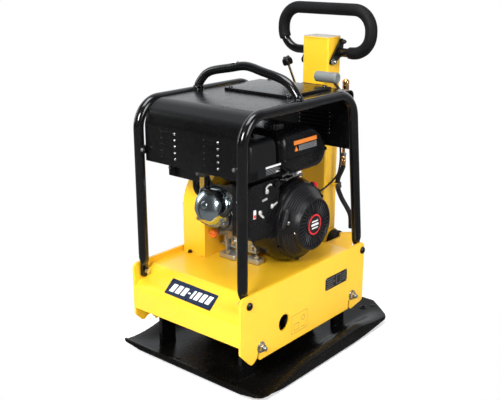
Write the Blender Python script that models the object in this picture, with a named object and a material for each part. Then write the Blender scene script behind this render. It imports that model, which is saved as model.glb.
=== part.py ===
"""Reversible plate compactor, modelled as an assembly of separate solids.

Frame: +Z up, -Y is the front of the machine (the end away from the operator),
+Y is the operator's end with the handle column, +X is the recoil-starter side.
In piece names "right" is +X and "left" is -X.
The origin is on the ground under the centre of the base plate.
All dimensions are in millimetres and turned into metres when an object is made.
"""
import itertools
import math

import bmesh
import bpy
from mathutils import Matrix, Vector
from mathutils.geometry import tessellate_polygon

for old_object in list(bpy.data.objects):
    bpy.data.objects.remove(old_object, do_unlink=True)

MM = 0.001
GAP = 0.3                      # clearance between neighbours that touch
SIDES = ((-1, "left"), (1, "right"))

# --------------------------------------------------------- shared dimensions
BASE_T = 12.0
# main frame: side plates joined by a bent sheet
PLATE_OUT = 214.5              # outer face of the side plates
PLATE_IN = PLATE_OUT - 8.0
FRAME_FRONT = -369.0
DECK_Z = 278.0
# engine
CRANK_Y, CRANK_Z = CRANK = (0.0, 410.0)
HOUSING_R = 130.0              # fan housing
FUEL_CAP = (66.0, -46.0)       # x, y
OIL_CAP = (-95.0, 354.0)       # x, z
TANK_TOP = 692
# exciter and belt
EXC_Z = 92.0
EXC_Y = 45.0                   # half the distance between the two shafts
DRIVE_SHAFT = (-EXC_Y, EXC_Z)
DRIVEN_SHAFT = (EXC_Y, EXC_Z)
BELT_X = -158.0
CLUTCH_GROOVE_R = 50
EXCITER_GROOVE_R = 44
# pivots, all y, z
COL_PIVOT = (285.0, 256.0)
LEVER_PIVOT = (262.0, 745.0)   # both side levers
HOOP_PIVOT = (263.0, 854.0)
COL_HALF_W = 49.5
COL_BORE_R = 12.6              # clearance round the column pin
THROTTLE_X, LOCK_X = 110, -76  # planes of the side levers
# buffers and bolts through the side plates, y, z
BUFFERS = {"front": (-283.0, 125.0), "rear": (178.0, 129.0)}
BOLTS = {"front": (-334.0, 267.0), "rear": (230.0, 268.0)}
BRACKET_X = 168.0              # outer face of the base plate's upright brackets

# finish: (base colour, roughness, metallic)
FINISHES = {
    "yellow_paint": ((0.92, 0.62, 0.03), 0.38, 0.0),
    "black_paint": ((0.018, 0.018, 0.02), 0.32, 0.0),
    "cast_black": ((0.03, 0.028, 0.026), 0.55, 0.2),
    "rubber": ((0.02, 0.02, 0.02), 0.85, 0.0),
    "foam": ((0.018, 0.018, 0.022), 0.8, 0.0),
    "zinc": ((0.68, 0.68, 0.66), 0.3, 1.0),
    "steel": ((0.5, 0.5, 0.5), 0.35, 1.0),
    "aluminium": ((0.6, 0.6, 0.6), 0.42, 1.0),
    "chrome": ((0.82, 0.83, 0.82), 0.12, 1.0),
    "black_plastic": ((0.022, 0.022, 0.024), 0.45, 0.0),
    "engine_black": ((0.02, 0.02, 0.022), 0.35, 0.1),
    "brass": ((0.78, 0.5, 0.2), 0.3, 1.0),
    "red_plastic": ((0.75, 0.02, 0.03), 0.4, 0.0),
    "orange_plastic": ((0.85, 0.2, 0.03), 0.4, 0.0),
    "grey_plastic": ((0.42, 0.45, 0.44), 0.5, 0.0),
    "iron": ((0.12, 0.12, 0.12), 0.6, 0.8),
}


# ------------------------------------------------- bodies, pieces, materials
BODIES = {}                    # name: (empty, position in mm)
HELPER_NUMBERS = itertools.count(1)


def add_body(name, position):
    """Add an empty that carries the pieces of one moving or fixed body."""
    body = bpy.data.objects.new(name, None)
    body.location = Vector(position) * MM
    bpy.context.scene.collection.objects.link(body)
    BODIES[name] = (body, Vector(position))


def add_material(name, finish):
    color, roughness, metallic = FINISHES[finish]
    material = bpy.data.materials.new(name)
    material.use_nodes = True
    shader = material.node_tree.nodes.get("Principled BSDF")
    shader.inputs["Base Color"].default_value = (*color, 1.0)
    shader.inputs["Roughness"].default_value = roughness
    shader.inputs["Metallic"].default_value = metallic
    material.diffuse_color = (*color, 1.0)
    return material


def add_object(name, mesh, body_name):
    """Turn a bmesh in millimetres into an object with its origin on its body's empty."""
    bmesh.ops.remove_doubles(mesh, verts=mesh.verts, dist=0.0005)
    bmesh.ops.recalc_face_normals(mesh, faces=mesh.faces)
    body, position = BODIES[body_name]
    bmesh.ops.translate(mesh, verts=mesh.verts, vec=-position)
    bmesh.ops.scale(mesh, verts=mesh.verts, vec=(MM, MM, MM))
    data = bpy.data.meshes.new(name)
    mesh.to_mesh(data)
    mesh.free()
    added = bpy.data.objects.new(name, data)
    bpy.context.scene.collection.objects.link(added)
    added.parent = body
    return added


def add_piece(name, mesh, finish, body_name="body_chassis", smooth=35):
    """Add a visible piece; edges sharper than smooth degrees stay sharp."""
    piece = add_object(name, mesh, body_name)
    piece.data.materials.append(add_material(name + "_" + finish, finish))
    if smooth:
        piece.data.shade_smooth()
        piece.data.set_sharp_from_angle(angle=math.radians(smooth))
    return piece


def combine(piece, mesh, operation):
    """Apply a hidden helper solid to a piece with a Boolean modifier."""
    number = next(HELPER_NUMBERS)
    helper = add_object("helper_%02d" % number, mesh, piece.parent.name)
    helper.hide_render = True
    helper.display_type = 'WIRE'
    modifier = piece.modifiers.new("bool_%d" % number, 'BOOLEAN')
    modifier.operation = operation
    modifier.object = helper
    modifier.solver = 'EXACT'


def cut(piece, mesh):
    combine(piece, mesh, 'DIFFERENCE')


def join(piece, mesh):
    combine(piece, mesh, 'UNION')


# ----------------------------------------------------------- flat outlines
def circle(centre_a, centre_b, radius, segments):
    return [(centre_a + radius * math.cos(2 * math.pi * i / segments),
             centre_b + radius * math.sin(2 * math.pi * i / segments)) for i in range(segments)]


def fillet(before, corner, after, radius):
    """Centre of a corner's arc, and the offsets from it to the arc's two ends."""
    toward_before = (before - corner).normalized()
    toward_after = (after - corner).normalized()
    half_angle = toward_before.angle(toward_after) / 2
    length = radius / math.tan(half_angle)
    centre = corner + (toward_before + toward_after).normalized() * (radius / math.sin(half_angle))
    return (centre, corner + toward_before * length - centre,
            corner + toward_after * length - centre)


def rounded(corners, steps):
    """Closed outline from corners given as (a, b, radius)."""
    points = [Vector(corner[:2]) for corner in corners]
    outline = []
    for i, corner in enumerate(points):
        radius = corners[i][2]
        if radius <= 0:
            outline.append(tuple(corner))
            continue
        centre, start, end = fillet(points[i - 1], corner, points[(i + 1) % len(points)], radius)
        start_angle = math.atan2(start.y, start.x)
        end_angle = math.atan2(end.y, end.x)
        turn = (end_angle - start_angle + math.pi) % (2 * math.pi) - math.pi
        for k in range(steps + 1):
            angle = start_angle + turn * k / steps
            outline.append((centre.x + radius * math.cos(angle),
                            centre.y + radius * math.sin(angle)))
    return outline


def hull(circles, segments=16):
    """Convex outline round a set of circles (a, b, radius)."""
    points = sorted({(round(a + radius * math.cos(2 * math.pi * k / segments), 4),
                      round(b + radius * math.sin(2 * math.pi * k / segments), 4))
                     for a, b, radius in circles for k in range(segments)})

    def half(sequence):
        chain = []
        for point in sequence:
            while len(chain) > 1:
                (a0, b0), (a1, b1) = chain[-2:]
                if (a1 - a0) * (point[1] - b0) - (b1 - b0) * (point[0] - a0) > 1e-6:
                    break
                chain.pop()
            chain.append(point)
        return chain[:-1]
    return half(points) + half(points[::-1])


def mirrored(profile, side):
    """A (x, radius) profile put on one side: -1 left, 1 right."""
    return [(side * x, radius) for x, radius in profile]


# ------------------------------------------------------------------- paths
def bend_path(points, radius, steps=6):
    """Replace the inner corners of a polyline with arcs."""
    points = [Vector(point) for point in points]
    path = [points[0]]
    for before, corner, after in zip(points, points[1:], points[2:]):
        centre, start, end = fillet(before, corner, after, radius)
        normal = start.cross(end).normalized()
        turn = start.angle(end)
        spoke = start.normalized()
        for k in range(steps + 1):
            path.append(centre + (Matrix.Rotation(turn * k / steps, 3, normal) @ spoke) * radius)
    path.append(points[-1])
    return path


def spline(points, steps=2):
    """Catmull-Rom curve through the given points."""
    points = [Vector(point) for point in points]
    points = [points[0] * 2 - points[1]] + points + [points[-1] * 2 - points[-2]]
    path = []
    for before, start, end, after in zip(points, points[1:], points[2:], points[3:]):
        for k in range(steps):
            t = k / steps
            path.append(0.5 * ((2 * start) + (end - before) * t
                               + (2 * before - 5 * start + 4 * end - after) * t * t
                               + (3 * start - before - 3 * end + after) * t ** 3))
    path.append(points[-2])
    return path


# ------------------------------------------------------------------ solids
def axis_point(axis, a, b, along):
    """Point at a distance along an axis; a, b are the other two coordinates in order."""
    if axis == 'X':
        return Vector((along, a, b))
    if axis == 'Y':
        return Vector((a, along, b))
    return Vector((a, b, along))


def bridge(mesh, ring, next_ring):
    """Faces between two closed rings of equally many vertices."""
    for k in range(len(ring)):
        j = (k + 1) % len(ring)
        mesh.faces.new([ring[k], ring[j], next_ring[j], next_ring[k]])


def skin(mesh, sections):
    """Open-ended surface through closed sections; returns its rings of vertices."""
    rings = [[mesh.verts.new(point) for point in section] for section in sections]
    for ring, next_ring in zip(rings, rings[1:]):
        bridge(mesh, ring, next_ring)
    return rings


def loft(sections):
    """Solid through closed sections, with flat ends."""
    mesh = bmesh.new()
    rings = skin(mesh, sections)
    mesh.faces.new(rings[0])
    mesh.faces.new(list(reversed(rings[-1])))
    return mesh


def prism(outline, axis, low, high, holes=(), mesh=None):
    """Extrude a flat outline, with optional holes, along an axis."""
    mesh = mesh or bmesh.new()
    loops = [outline, *holes]
    points = [point for loop in loops for point in loop]
    triangles = tessellate_polygon([[Vector((a, b, 0)) for a, b in loop] for loop in loops])
    bottom = [mesh.verts.new(axis_point(axis, a, b, low)) for a, b in points]
    top = [mesh.verts.new(axis_point(axis, a, b, high)) for a, b in points]
    for i, j, k in triangles:
        mesh.faces.new([bottom[i], bottom[j], bottom[k]])
        mesh.faces.new([top[i], top[k], top[j]])
    start = 0
    for loop in loops:
        end = start + len(loop)
        bridge(mesh, bottom[start:end], top[start:end])
        start = end
    return mesh


def box(low, high, bevel=0.0, segments=2, mesh=None):
    """Box between two corners, with all its edges bevelled if asked."""
    mesh = mesh or bmesh.new()
    old_edges = len(mesh.edges)
    corners = bmesh.ops.create_cube(mesh, size=1.0)["verts"]
    bmesh.ops.scale(mesh, verts=corners, vec=[high[i] - low[i] for i in range(3)])
    bmesh.ops.translate(mesh, verts=corners, vec=[(low[i] + high[i]) / 2 for i in range(3)])
    if bevel:
        bmesh.ops.bevel(mesh, geom=list(mesh.edges)[old_edges:], offset=bevel,
                        segments=segments, profile=0.5, affect='EDGES', clamp_overlap=True)
    return mesh


def lathe(profile, axis, centre, segments, ring=False):
    """Turn a (distance along, radius) profile about an axis through centre.

    With ring the profile is a closed loop clear of the axis; otherwise it starts and
    ends on the axis and the ends become poles.
    """
    mesh = bmesh.new()
    columns = []
    for along, radius in profile:
        if radius <= 1e-9:
            columns.append([mesh.verts.new(axis_point(axis, *centre, along))])
        else:
            columns.append([mesh.verts.new(axis_point(axis, a, b, along))
                            for a, b in circle(*centre, radius, segments)])
    following = columns[1:] + (columns[:1] if ring else [])
    for column, after in zip(columns, following):
        if len(column) > 1 and len(after) > 1:
            bridge(mesh, column, after)
            continue
        for k in range(segments):
            j = (k + 1) % segments
            if len(column) == 1:
                mesh.faces.new([column[0], after[j], after[k]])
            else:
                mesh.faces.new([column[k], column[j], after[0]])
    return mesh


def cylinder(axis, centre, low, high, radius, segments=20, bevel=0.0):
    if bevel:
        profile = [(low, 0), (low, radius - bevel), (low + bevel, radius),
                   (high - bevel, radius), (high, radius - bevel), (high, 0)]
    else:
        profile = [(low, 0), (low, radius), (high, radius), (high, 0)]
    return lathe(profile, axis, centre, segments)


def sweep(path, radius, segments, up=(1, 0, 0), scales=None, shifts=None, bore=0.0):
    """Sweep a round section along a path.

    scales gives the section's size along its up direction as a share of the radius,
    shifts moves it that way, and bore is the radius of an open hole along the path.
    """
    outer, inner = [], []
    upward = Vector(up).normalized()
    for i, point in enumerate(path):
        ahead = (path[min(i + 1, len(path) - 1)] - point).normalized()
        behind = (point - path[max(i - 1, 0)]).normalized()
        tangent = (ahead + behind).normalized()
        upward = (upward - tangent * upward.dot(tangent)).normalized()
        across = tangent.cross(upward)
        scale = scales[i] if scales else 1.0
        centre = point + upward * (shifts[i] if shifts else 0.0)
        for sections, size in ((outer, radius), (inner, bore)):
            sections.append([centre + upward * size * scale * math.cos(2 * math.pi * k / segments)
                             + across * size * math.sin(2 * math.pi * k / segments)
                             for k in range(segments)])
    if not bore:
        return loft(outer)
    mesh = bmesh.new()
    outer_rings = skin(mesh, outer)
    inner_rings = skin(mesh, inner)
    for end in (0, -1):
        bridge(mesh, outer_rings[end], inner_rings[end])
    return mesh


def swing(mesh, angle):
    """Turn a mesh about the crank line."""
    bmesh.ops.rotate(mesh, verts=mesh.verts, cent=(0, CRANK_Y, CRANK_Z),
                     matrix=Matrix.Rotation(angle, 3, 'X'))
    return mesh


# ---------------------------------------------------------------- base plate
# A heavy pan: the bottom is flat in the middle and sweeps up at both ends, and the
# long edges carry a raised rim with a sloping inner face and an upright outer band.
BASE_HALF_W = 278.0
BASE_FRONT, BASE_REAR = -369, 369
BASE_STATIONS = [BASE_FRONT, -364, -358, -350, -340, -322, -300, -270, -235, -190, -120, -40,
                 40, 100, 150, 200, 240, 275, 300, 320, 340, 356, BASE_REAR]   # y
FRONT_BEAD = {BASE_FRONT: 3.0, -364: 7.0, -358: 5.5}   # y: extra height at the front edge
END_CROWN = 0.4                # keeps the end rows' corner points off one line


def progress(y, start, end):
    """Share of the way from start to end, held between 0 and 1."""
    return min(1.0, max(0.0, (y - start) / (end - start)))


def base_half_width(y):
    """Half width of the plate; the front corners are rounded and the rear ones cut."""
    if y > 300:
        return BASE_HALF_W - 4 - 92.0 * progress(y, 300, BASE_REAR) ** 1.25
    return BASE_HALF_W - 12.0 * progress(y, -350, BASE_FRONT) ** 2


def base_section(y):
    """One cross-section of the plate, across the top and back underneath."""
    edge = base_half_width(y)
    bottom = 9.5 * progress(y, -250, BASE_FRONT) ** 1.6 + 26.0 * progress(y, 100, BASE_REAR) ** 1.7
    top = bottom + BASE_T + FRONT_BEAD.get(y, 0.0)
    # the rim fades out where the ends become a plain lip
    fade = progress(y, -330, -130) * progress(y, 330, 150)
    full_rim = 44.0 - 22.0 * progress(y, -200, BASE_FRONT) ** 1.5 + 10.0 * progress(y, -200, 200)
    rim = top + max(0.0, full_rim - top) * fade
    inner = 205.0 if edge > 230 else edge - 40.0
    shelf = min(240.0, edge - 18.0)
    crest = min(262.0, edge - 9.0)
    # the underside lifts towards the front corners
    lift = progress(y, -262, BASE_FRONT)
    toe = edge - 14.0 - 50.0 * lift
    band_low = bottom + (6.0 if fade > 0.05 else 0.0) + 10.0 * lift
    crown = END_CROWN if y in (BASE_FRONT, BASE_REAR) else 0.0
    right = [(inner, top - crown), (shelf, rim - 3.0 * fade - 1.5 * crown),
             (crest, rim - 2.5 * crown), (edge, rim - 5.0 * fade - 4 * crown)]
    left = [(-x, z) for x, z in reversed(right)]
    under = [(edge, band_low), (toe, bottom + crown), (0.0, bottom), (-toe, bottom + crown),
             (-edge, band_low)]
    return [Vector((x, y, z)) for x, z in left + [(0.0, top)] + right + under]


def build_base_plate():
    mesh = loft([base_section(y) for y in BASE_STATIONS])
    bmesh.ops.triangulate(mesh, faces=mesh.faces)
    base = add_piece("base_plate", mesh, "cast_black", smooth=30)
    # upright brackets for the buffers
    for side, _ in SIDES:
        for y, z in BUFFERS.values():
            outline = rounded([(y - 30, 8.4, 0), (y + 30, 8.4, 0),
                               (y + 28, z + 26, 18), (y - 28, z + 26, 18)], 3)
            low, high = sorted((side * (BRACKET_X - 12.0), side * BRACKET_X))
            join(base, prism(outline, 'X', low, high, holes=[circle(y, z, 6.5, 12)]))
    # holes near the rear corners
    for side, _ in SIDES:
        cut(base, cylinder('Z', (side * 178, 312), -20, 80, 7.0, 12))


# ------------------------------------------------------------------- exciter
EXC_HALF_X, EXC_HALF_Y = 118.0, 112.0
EXC_TOP = 166
EXC_WALL = 10
EXC_BORE_R = 16.0
GEAR_TEETH = 14
GEAR_R = EXC_Y - 0.2
GEAR_X = (76, 98)
MASS_R = 37
MASS_X = (-50, 46)
# one tooth: (offset from its middle in pitches, height over the pitch circle)
TOOTH = ((-0.30, -3.4), (-0.14, 2.2), (0.14, 2.2), (0.30, -3.4))


def build_exciter_housing():
    floor = BASE_T + GAP
    housing = add_piece("exciter_housing",
                        box((-EXC_HALF_X, -EXC_HALF_Y, floor), (EXC_HALF_X, EXC_HALF_Y, EXC_TOP), 8),
                        "cast_black")
    # the cavity opens at the +X end
    cut(housing, box((-EXC_HALF_X + EXC_WALL, -EXC_HALF_Y + EXC_WALL, floor + 11),
                     (EXC_HALF_X + 30, EXC_HALF_Y - EXC_WALL, EXC_TOP - EXC_WALL)))
    for shaft in (DRIVE_SHAFT, DRIVEN_SHAFT):
        cut(housing, cylinder('X', shaft, -EXC_HALF_X - 20, -EXC_HALF_X + 20, EXC_BORE_R))
    cover = rounded([(-106, 20, 20), (106, 20, 20), (106, 160, 20), (-106, 160, 20)], 4)
    add_piece("exciter_cover",
              prism(cover, 'X', EXC_HALF_X + GAP, EXC_HALF_X + 10,
                    holes=[circle(*shaft, EXC_BORE_R, 20) for shaft in (DRIVE_SHAFT, DRIVEN_SHAFT)]),
              "cast_black")


def gear(shaft, phase):
    pitch = 2 * math.pi / GEAR_TEETH
    outline = []
    for i in range(GEAR_TEETH):
        for offset, height in TOOTH:
            angle = phase + i * pitch + offset * pitch
            outline.append((shaft[0] + (GEAR_R + height) * math.cos(angle),
                            shaft[1] + (GEAR_R + height) * math.sin(angle)))
    return prism(outline, 'X', *GEAR_X)


def eccentric_shaft(shaft, left_end):
    return lathe([(left_end, 0), (left_end, 12), (-60, 12), (-60, 17), (62, 17), (62, 12),
                  (124, 12), (124, 0)], 'X', shaft, 20)


def half_mass(shaft):
    """Half-round unbalanced mass hanging below a shaft."""
    angles = [math.pi * k / 14 for k in range(15)]
    return prism([(shaft[0] + MASS_R * math.cos(angle), shaft[1] - MASS_R * math.sin(angle))
                  for angle in angles], 'X', *MASS_X)


def build_eccentric_shafts():
    """The drive shaft runs out to its pulley at -X; both carry a gear near +X."""
    drive = add_piece("eccentric_shaft_drive", eccentric_shaft(DRIVE_SHAFT, -176), "steel",
                      "body_exciter_drive")
    join(drive, half_mass(DRIVE_SHAFT))
    driven = add_piece("eccentric_shaft_driven", eccentric_shaft(DRIVEN_SHAFT, -114), "steel",
                       "body_exciter_driven")
    join(driven, half_mass(DRIVEN_SHAFT))
    join(drive, gear(DRIVE_SHAFT, 0.0))
    # turned by half a tooth to mesh with the drive gear
    join(driven, gear(DRIVEN_SHAFT, math.pi + math.pi / GEAR_TEETH))


# ------------------------------------------------------ pulleys, crank, belt
PULLEY_BORE_R = 12.6
GROOVE_TOP_HALF, GROOVE_FLOOR_HALF = 11, 6
BELT_HALF_W = 5.5
BELT_T = 8.0
BELT_LIFT = 2.0                # belt's inner face above the groove floor
# (x, radius)
CRANKSHAFT = [(-184, 0), (-184, 12), (-96, 12), (-96, 17), (-60, 17), (-60, 30), (-44, 30),
              (-44, 17), (-18, 17), (-18, 30), (-2, 30), (-2, 17), (70, 17), (70, 13),
              (132, 13), (132, 0)]
FLYWHEEL = [(92, 13.6), (92, 88), (104, 92), (108, 92), (108, 60), (114, 34), (120, 30),
            (120, 13.6)]
FAN_BLADES = 8
FAN_BLADE = ((64, -2), (88, 8), (89, 11), (64, 1))   # (radius, sideways offset)


def pulley(shaft, left, right, rim, groove):
    profile = [(left, PULLEY_BORE_R), (left, rim), (BELT_X - GROOVE_TOP_HALF, rim),
               (BELT_X - GROOVE_FLOOR_HALF, groove), (BELT_X + GROOVE_FLOOR_HALF, groove),
               (BELT_X + GROOVE_TOP_HALF, rim), (right, rim), (right, PULLEY_BORE_R)]
    return lathe(profile, 'X', shaft, 24, ring=True)


def belt_loop(offset):
    """Outline round both pulleys, offset outwards from the belt's inner face."""
    upper, lower = Vector(CRANK), Vector(DRIVE_SHAFT)
    upper_r = CLUTCH_GROOVE_R + BELT_LIFT + offset
    lower_r = EXCITER_GROOVE_R + BELT_LIFT + offset
    line = lower - upper
    heading = math.atan2(line.y, line.x)
    contact = math.acos((upper_r - lower_r) / line.length)
    arcs = ((upper, upper_r, heading + contact, 2 * math.pi - 2 * contact, 18),
            (lower, lower_r, heading - contact, 2 * contact, 14))
    outline = []
    for centre, radius, start, turn, steps in arcs:
        for i in range(steps + 1):
            angle = start + turn * i / steps
            outline.append((centre.x + radius * math.cos(angle),
                            centre.y + radius * math.sin(angle)))
    return outline


def build_crank_line():
    add_piece("exciter_pulley", pulley(DRIVE_SHAFT, -174, -143, 58, EXCITER_GROOVE_R), "iron",
              "body_exciter_drive")
    add_piece("crankshaft", lathe(CRANKSHAFT, 'X', CRANK, 14), "steel", "body_crank")
    add_piece("clutch_pulley", pulley(CRANK, -182, -122, 66, CLUTCH_GROOVE_R), "iron",
              "body_crank")
    flywheel = add_piece("flywheel_fan", lathe(FLYWHEEL, 'X', CRANK, 24, ring=True),
                         "aluminium", "body_crank")
    fan = bmesh.new()
    for i in range(FAN_BLADES):
        angle = 2 * math.pi * i / FAN_BLADES
        cosine, sine = math.cos(angle), math.sin(angle)
        blade = [(CRANK_Y + radius * cosine - offset * sine,
                  CRANK_Z + radius * sine + offset * cosine) for radius, offset in FAN_BLADE]
        prism(blade, 'X', 106.5, 122, mesh=fan)
    join(flywheel, fan)
    add_piece("drive_belt", prism(belt_loop(BELT_T), 'X', BELT_X - BELT_HALF_W,
                                  BELT_X + BELT_HALF_W, holes=[belt_loop(0.0)]), "rubber")


# ---------------------------------------------------------------- main frame
FRAME_REAR = 243.0
FRAME_TOP = 295.0
DECK_REAR = 194.0              # rear edge of the deck, where the sheet turns down
SHEET_T = 6.0
SHEET_REAR_IN = DECK_REAR - SHEET_T
SHEET_FRONT_IN = FRAME_FRONT + SHEET_T
# corners are (y, z, radius); the left plate's front toe is cut shorter
RIGHT_TOE = [(FRAME_FRONT, 130, 6), (-326, 85, 5), (-316, 85, 5), (-300, 97, 4), (-297, 112, 3),
             (-289, 112, 3)]
LEFT_TOE = [(FRAME_FRONT, 130, 6), (-343, 103, 5), (-334, 103, 5), (-322, 111, 4),
            (-289, 112, 3)]
PLATE_REST = [(-287, 87, 0), (158, 87, 0), (159, 116, 3), (167, 116, 3), (169, 86, 0),
              (178, 81, 4), (240, 92, 0), (FRAME_REAR, 96, 3), (FRAME_REAR, FRAME_TOP, 20),
              (FRAME_FRONT, FRAME_TOP, 18)]
# front panel, deck and rear wall bent from one sheet
SHEET = [(FRAME_FRONT, 152, 0), (FRAME_FRONT, 222, 14), (-298, DECK_Z, 16),
         (DECK_REAR, DECK_Z, 4), (DECK_REAR, 172, 0),
         (SHEET_REAR_IN, 172, 0), (SHEET_REAR_IN, DECK_Z - SHEET_T, 2),
         (-296, DECK_Z - SHEET_T, 12), (SHEET_FRONT_IN, 219, 10), (SHEET_FRONT_IN, 152, 0)]
LUG = [(DECK_REAR - 2, 200, 0), (290, 214, 14), (322, 236, 14), (322, 276, 14), (300, 292, 12),
       (262, 290, 10), (236, 262, 14), (DECK_REAR - 2, 262, 0)]
LUG_IN, LUG_OUT = 52, 60


def build_frame():
    frame = add_piece("frame", prism(rounded(SHEET, 3), 'X', -PLATE_IN - 2, PLATE_IN + 2),
                      "yellow_paint")
    holes = [circle(*centre, 7.0, 8) for centre in (*BUFFERS.values(), *BOLTS.values())]
    holes.append(circle(-176, 162, 26, 20))
    join(frame, prism(rounded(RIGHT_TOE + PLATE_REST, 2), 'X', PLATE_IN, PLATE_OUT, holes))
    join(frame, prism(rounded(LEFT_TOE + PLATE_REST, 2), 'X', -PLATE_OUT, -PLATE_IN, holes))
    # rear lugs that carry the handle column's pin
    for low, high in ((LUG_IN, LUG_OUT), (-LUG_OUT, -LUG_IN)):
        join(frame, prism(rounded(LUG, 2), 'X', low, high,
                          holes=[circle(*COL_PIVOT, COL_BORE_R, 16)]))
    # clearance in the slope for the feet of the pipe loops
    for side, _ in SIDES:
        low, high = sorted((side * PLATE_IN, side * (PLATE_IN - 15.5)))
        cut(frame, box((low, -352, 244), (high, -315.5, 290)))
    # opening in the deck for the belt
    cut(frame, box((-192, -114, 260), (-122, 76, 290)))


# ------------------------------------------------- rubber buffers and fasteners
BUFFER_R = 29.0
# (x, radius) on the right side
BUFFER = [(BRACKET_X + GAP, 0), (BRACKET_X + GAP, BUFFER_R - 3), (BRACKET_X + 5, BUFFER_R),
          (PLATE_IN - 5, BUFFER_R), (PLATE_IN - GAP, BUFFER_R - 3), (PLATE_IN - GAP, 0)]
BUFFER_NUT = [(PLATE_IN + GAP, 0), (PLATE_IN + GAP, 6), (PLATE_OUT + GAP, 6),
              (PLATE_OUT + GAP, 14), (PLATE_OUT + 3, 14), (PLATE_OUT + 3, 10.4),
              (PLATE_OUT + 12, 10.4), (PLATE_OUT + 12, 6), (PLATE_OUT + 21, 6),
              (PLATE_OUT + 22, 5), (PLATE_OUT + 22, 0)]
FRAME_BOLT = [(PLATE_IN + GAP, 0), (PLATE_IN + GAP, 5.5), (PLATE_OUT + GAP, 5.5),
              (PLATE_OUT + GAP, 11.5), (PLATE_OUT + 4, 11.5), (PLATE_OUT + 7.5, 8),
              (PLATE_OUT + 8.5, 0)]


def build_fasteners():
    # (piece, profile, centres, segments, finish)
    kinds = (("rubber_buffer", BUFFER, BUFFERS, 16, "rubber"),
             ("buffer_nut", BUFFER_NUT, BUFFERS, 8, "zinc"),
             ("frame_bolt", FRAME_BOLT, BOLTS, 12, "black_paint"))
    for side, side_name in SIDES:
        for piece, profile, centres, segments, finish in kinds:
            for place, centre in centres.items():
                add_piece("%s_%s_%s" % (piece, place, side_name),
                          lathe(mirrored(profile, side), 'X', centre, segments), finish)


# ------------------------------------------------- pipe loops and lifting bar
LOOP_X = 195.0
LOOP_R = 15.0
LOOP_TOP = 782.0
LOOP_FRONT = -339.0
LOOP_REAR_TOP, LOOP_REAR_BOTTOM = 170.0, 231.0
LOOP_BEND_R = 80.0
LOOP_FOOT = 252.0
LOOP_ROUND_Z = 330             # the section is fully round from here up
# flattened feet, from the end inwards: (z, front leg's y offset, rear leg's y offset,
# share of full thickness, outward shift)
LOOP_FEET = ((LOOP_FOOT, 5, -5, 0.36, 5.0), (282, 5, -5, 0.36, 5.0), (300, 2.5, -2, 0.72, -0.6))
LIFT_BAR_Y = -94
# (x, z) of the left half, up to the middle
LIFT_ARCH = [(-188, LOOP_TOP + 18.6), (-188.2, 804), (-184.5, 810), (-171, 824.5), (-154, 839),
             (-126, 850), (-64, 863), (0, 875)]


def loop_rear_y(z):
    """The rear leg leans back towards its foot."""
    return (LOOP_REAR_TOP
            + (LOOP_REAR_BOTTOM - LOOP_REAR_TOP) * (LOOP_TOP - z) / (LOOP_TOP - LOOP_FOOT))


def build_loops():
    core = bend_path([(0, LOOP_FRONT, LOOP_ROUND_Z), (0, LOOP_FRONT, LOOP_TOP),
                      (0, LOOP_REAR_TOP, LOOP_TOP), (0, loop_rear_y(LOOP_ROUND_Z), LOOP_ROUND_Z)],
                     LOOP_BEND_R)
    front_foot = [Vector((0, LOOP_FRONT + front, z)) for z, front, _, _, _ in LOOP_FEET]
    rear_foot = [Vector((0, loop_rear_y(z) + rear, z)) for z, _, rear, _, _ in LOOP_FEET]
    path = front_foot + core + rear_foot[::-1]
    foot_scales = [foot[3] for foot in LOOP_FEET]
    foot_shifts = [foot[4] for foot in LOOP_FEET]
    scales = foot_scales + [1.0] * len(core) + foot_scales[::-1]
    shifts = foot_shifts + [0.0] * len(core) + foot_shifts[::-1]
    for side, side_name in SIDES:
        add_piece("frame_loop_" + side_name,
                  sweep([Vector((side * LOOP_X, point.y, point.z)) for point in path], LOOP_R, 12,
                        scales=scales, shifts=[side * shift for shift in shifts]), "black_paint")


def build_lifting_bar():
    """Bar arched between the two loops."""
    arch = LIFT_ARCH + [(-x, z) for x, z in reversed(LIFT_ARCH[:-1])]
    path = spline([(x, LIFT_BAR_Y, z) for x, z in arch])
    add_piece("lifting_bar", sweep(path, 13.0, 10, up=(0, 1, 0)), "black_paint")


# ------------------------------------------------------------------------ hood
HOOD_HALF_W = 177.0
HOOD_T = 3.0
HOOD_TOP = 787.0
HOOD_FRONT, HOOD_REAR = -331.0, 205.0
HOOD_LOW_FRONT, HOOD_LOW_REAR = 612.0, 600.0
# (y, z): outer face from front to rear, then inner face back
HOOD = [(HOOD_FRONT, HOOD_LOW_FRONT), (HOOD_FRONT, 716), (-325, 742), (-306, 768),
        (-276, HOOD_TOP), (HOOD_REAR - 22, HOOD_TOP), (HOOD_REAR - 6, HOOD_TOP - 6),
        (HOOD_REAR, HOOD_TOP - 22), (HOOD_REAR, HOOD_LOW_REAR),
        (HOOD_REAR - HOOD_T, HOOD_LOW_REAR), (HOOD_REAR - HOOD_T, HOOD_TOP - 21),
        (HOOD_REAR - 8, HOOD_TOP - 8.5), (HOOD_REAR - 22, HOOD_TOP - HOOD_T),
        (-275, HOOD_TOP - HOOD_T), (-303.5, 765.8), (-322.2, 740.8),
        (HOOD_FRONT + HOOD_T, 715.5), (HOOD_FRONT + HOOD_T, HOOD_LOW_FRONT)]
SLOT_ROWS, SLOT_Z, SLOT_PITCH = 5, 634, 18
SLOT_HALF_H = 2.5
REAR_SLOT_RISE = 8             # rear slots above the front ones
# column rest pad
PAD_HALF_W = 42
PAD_CREST_Y, PAD_VALLEY_Y = 246.4, 242
RIB_PITCH = 12


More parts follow.
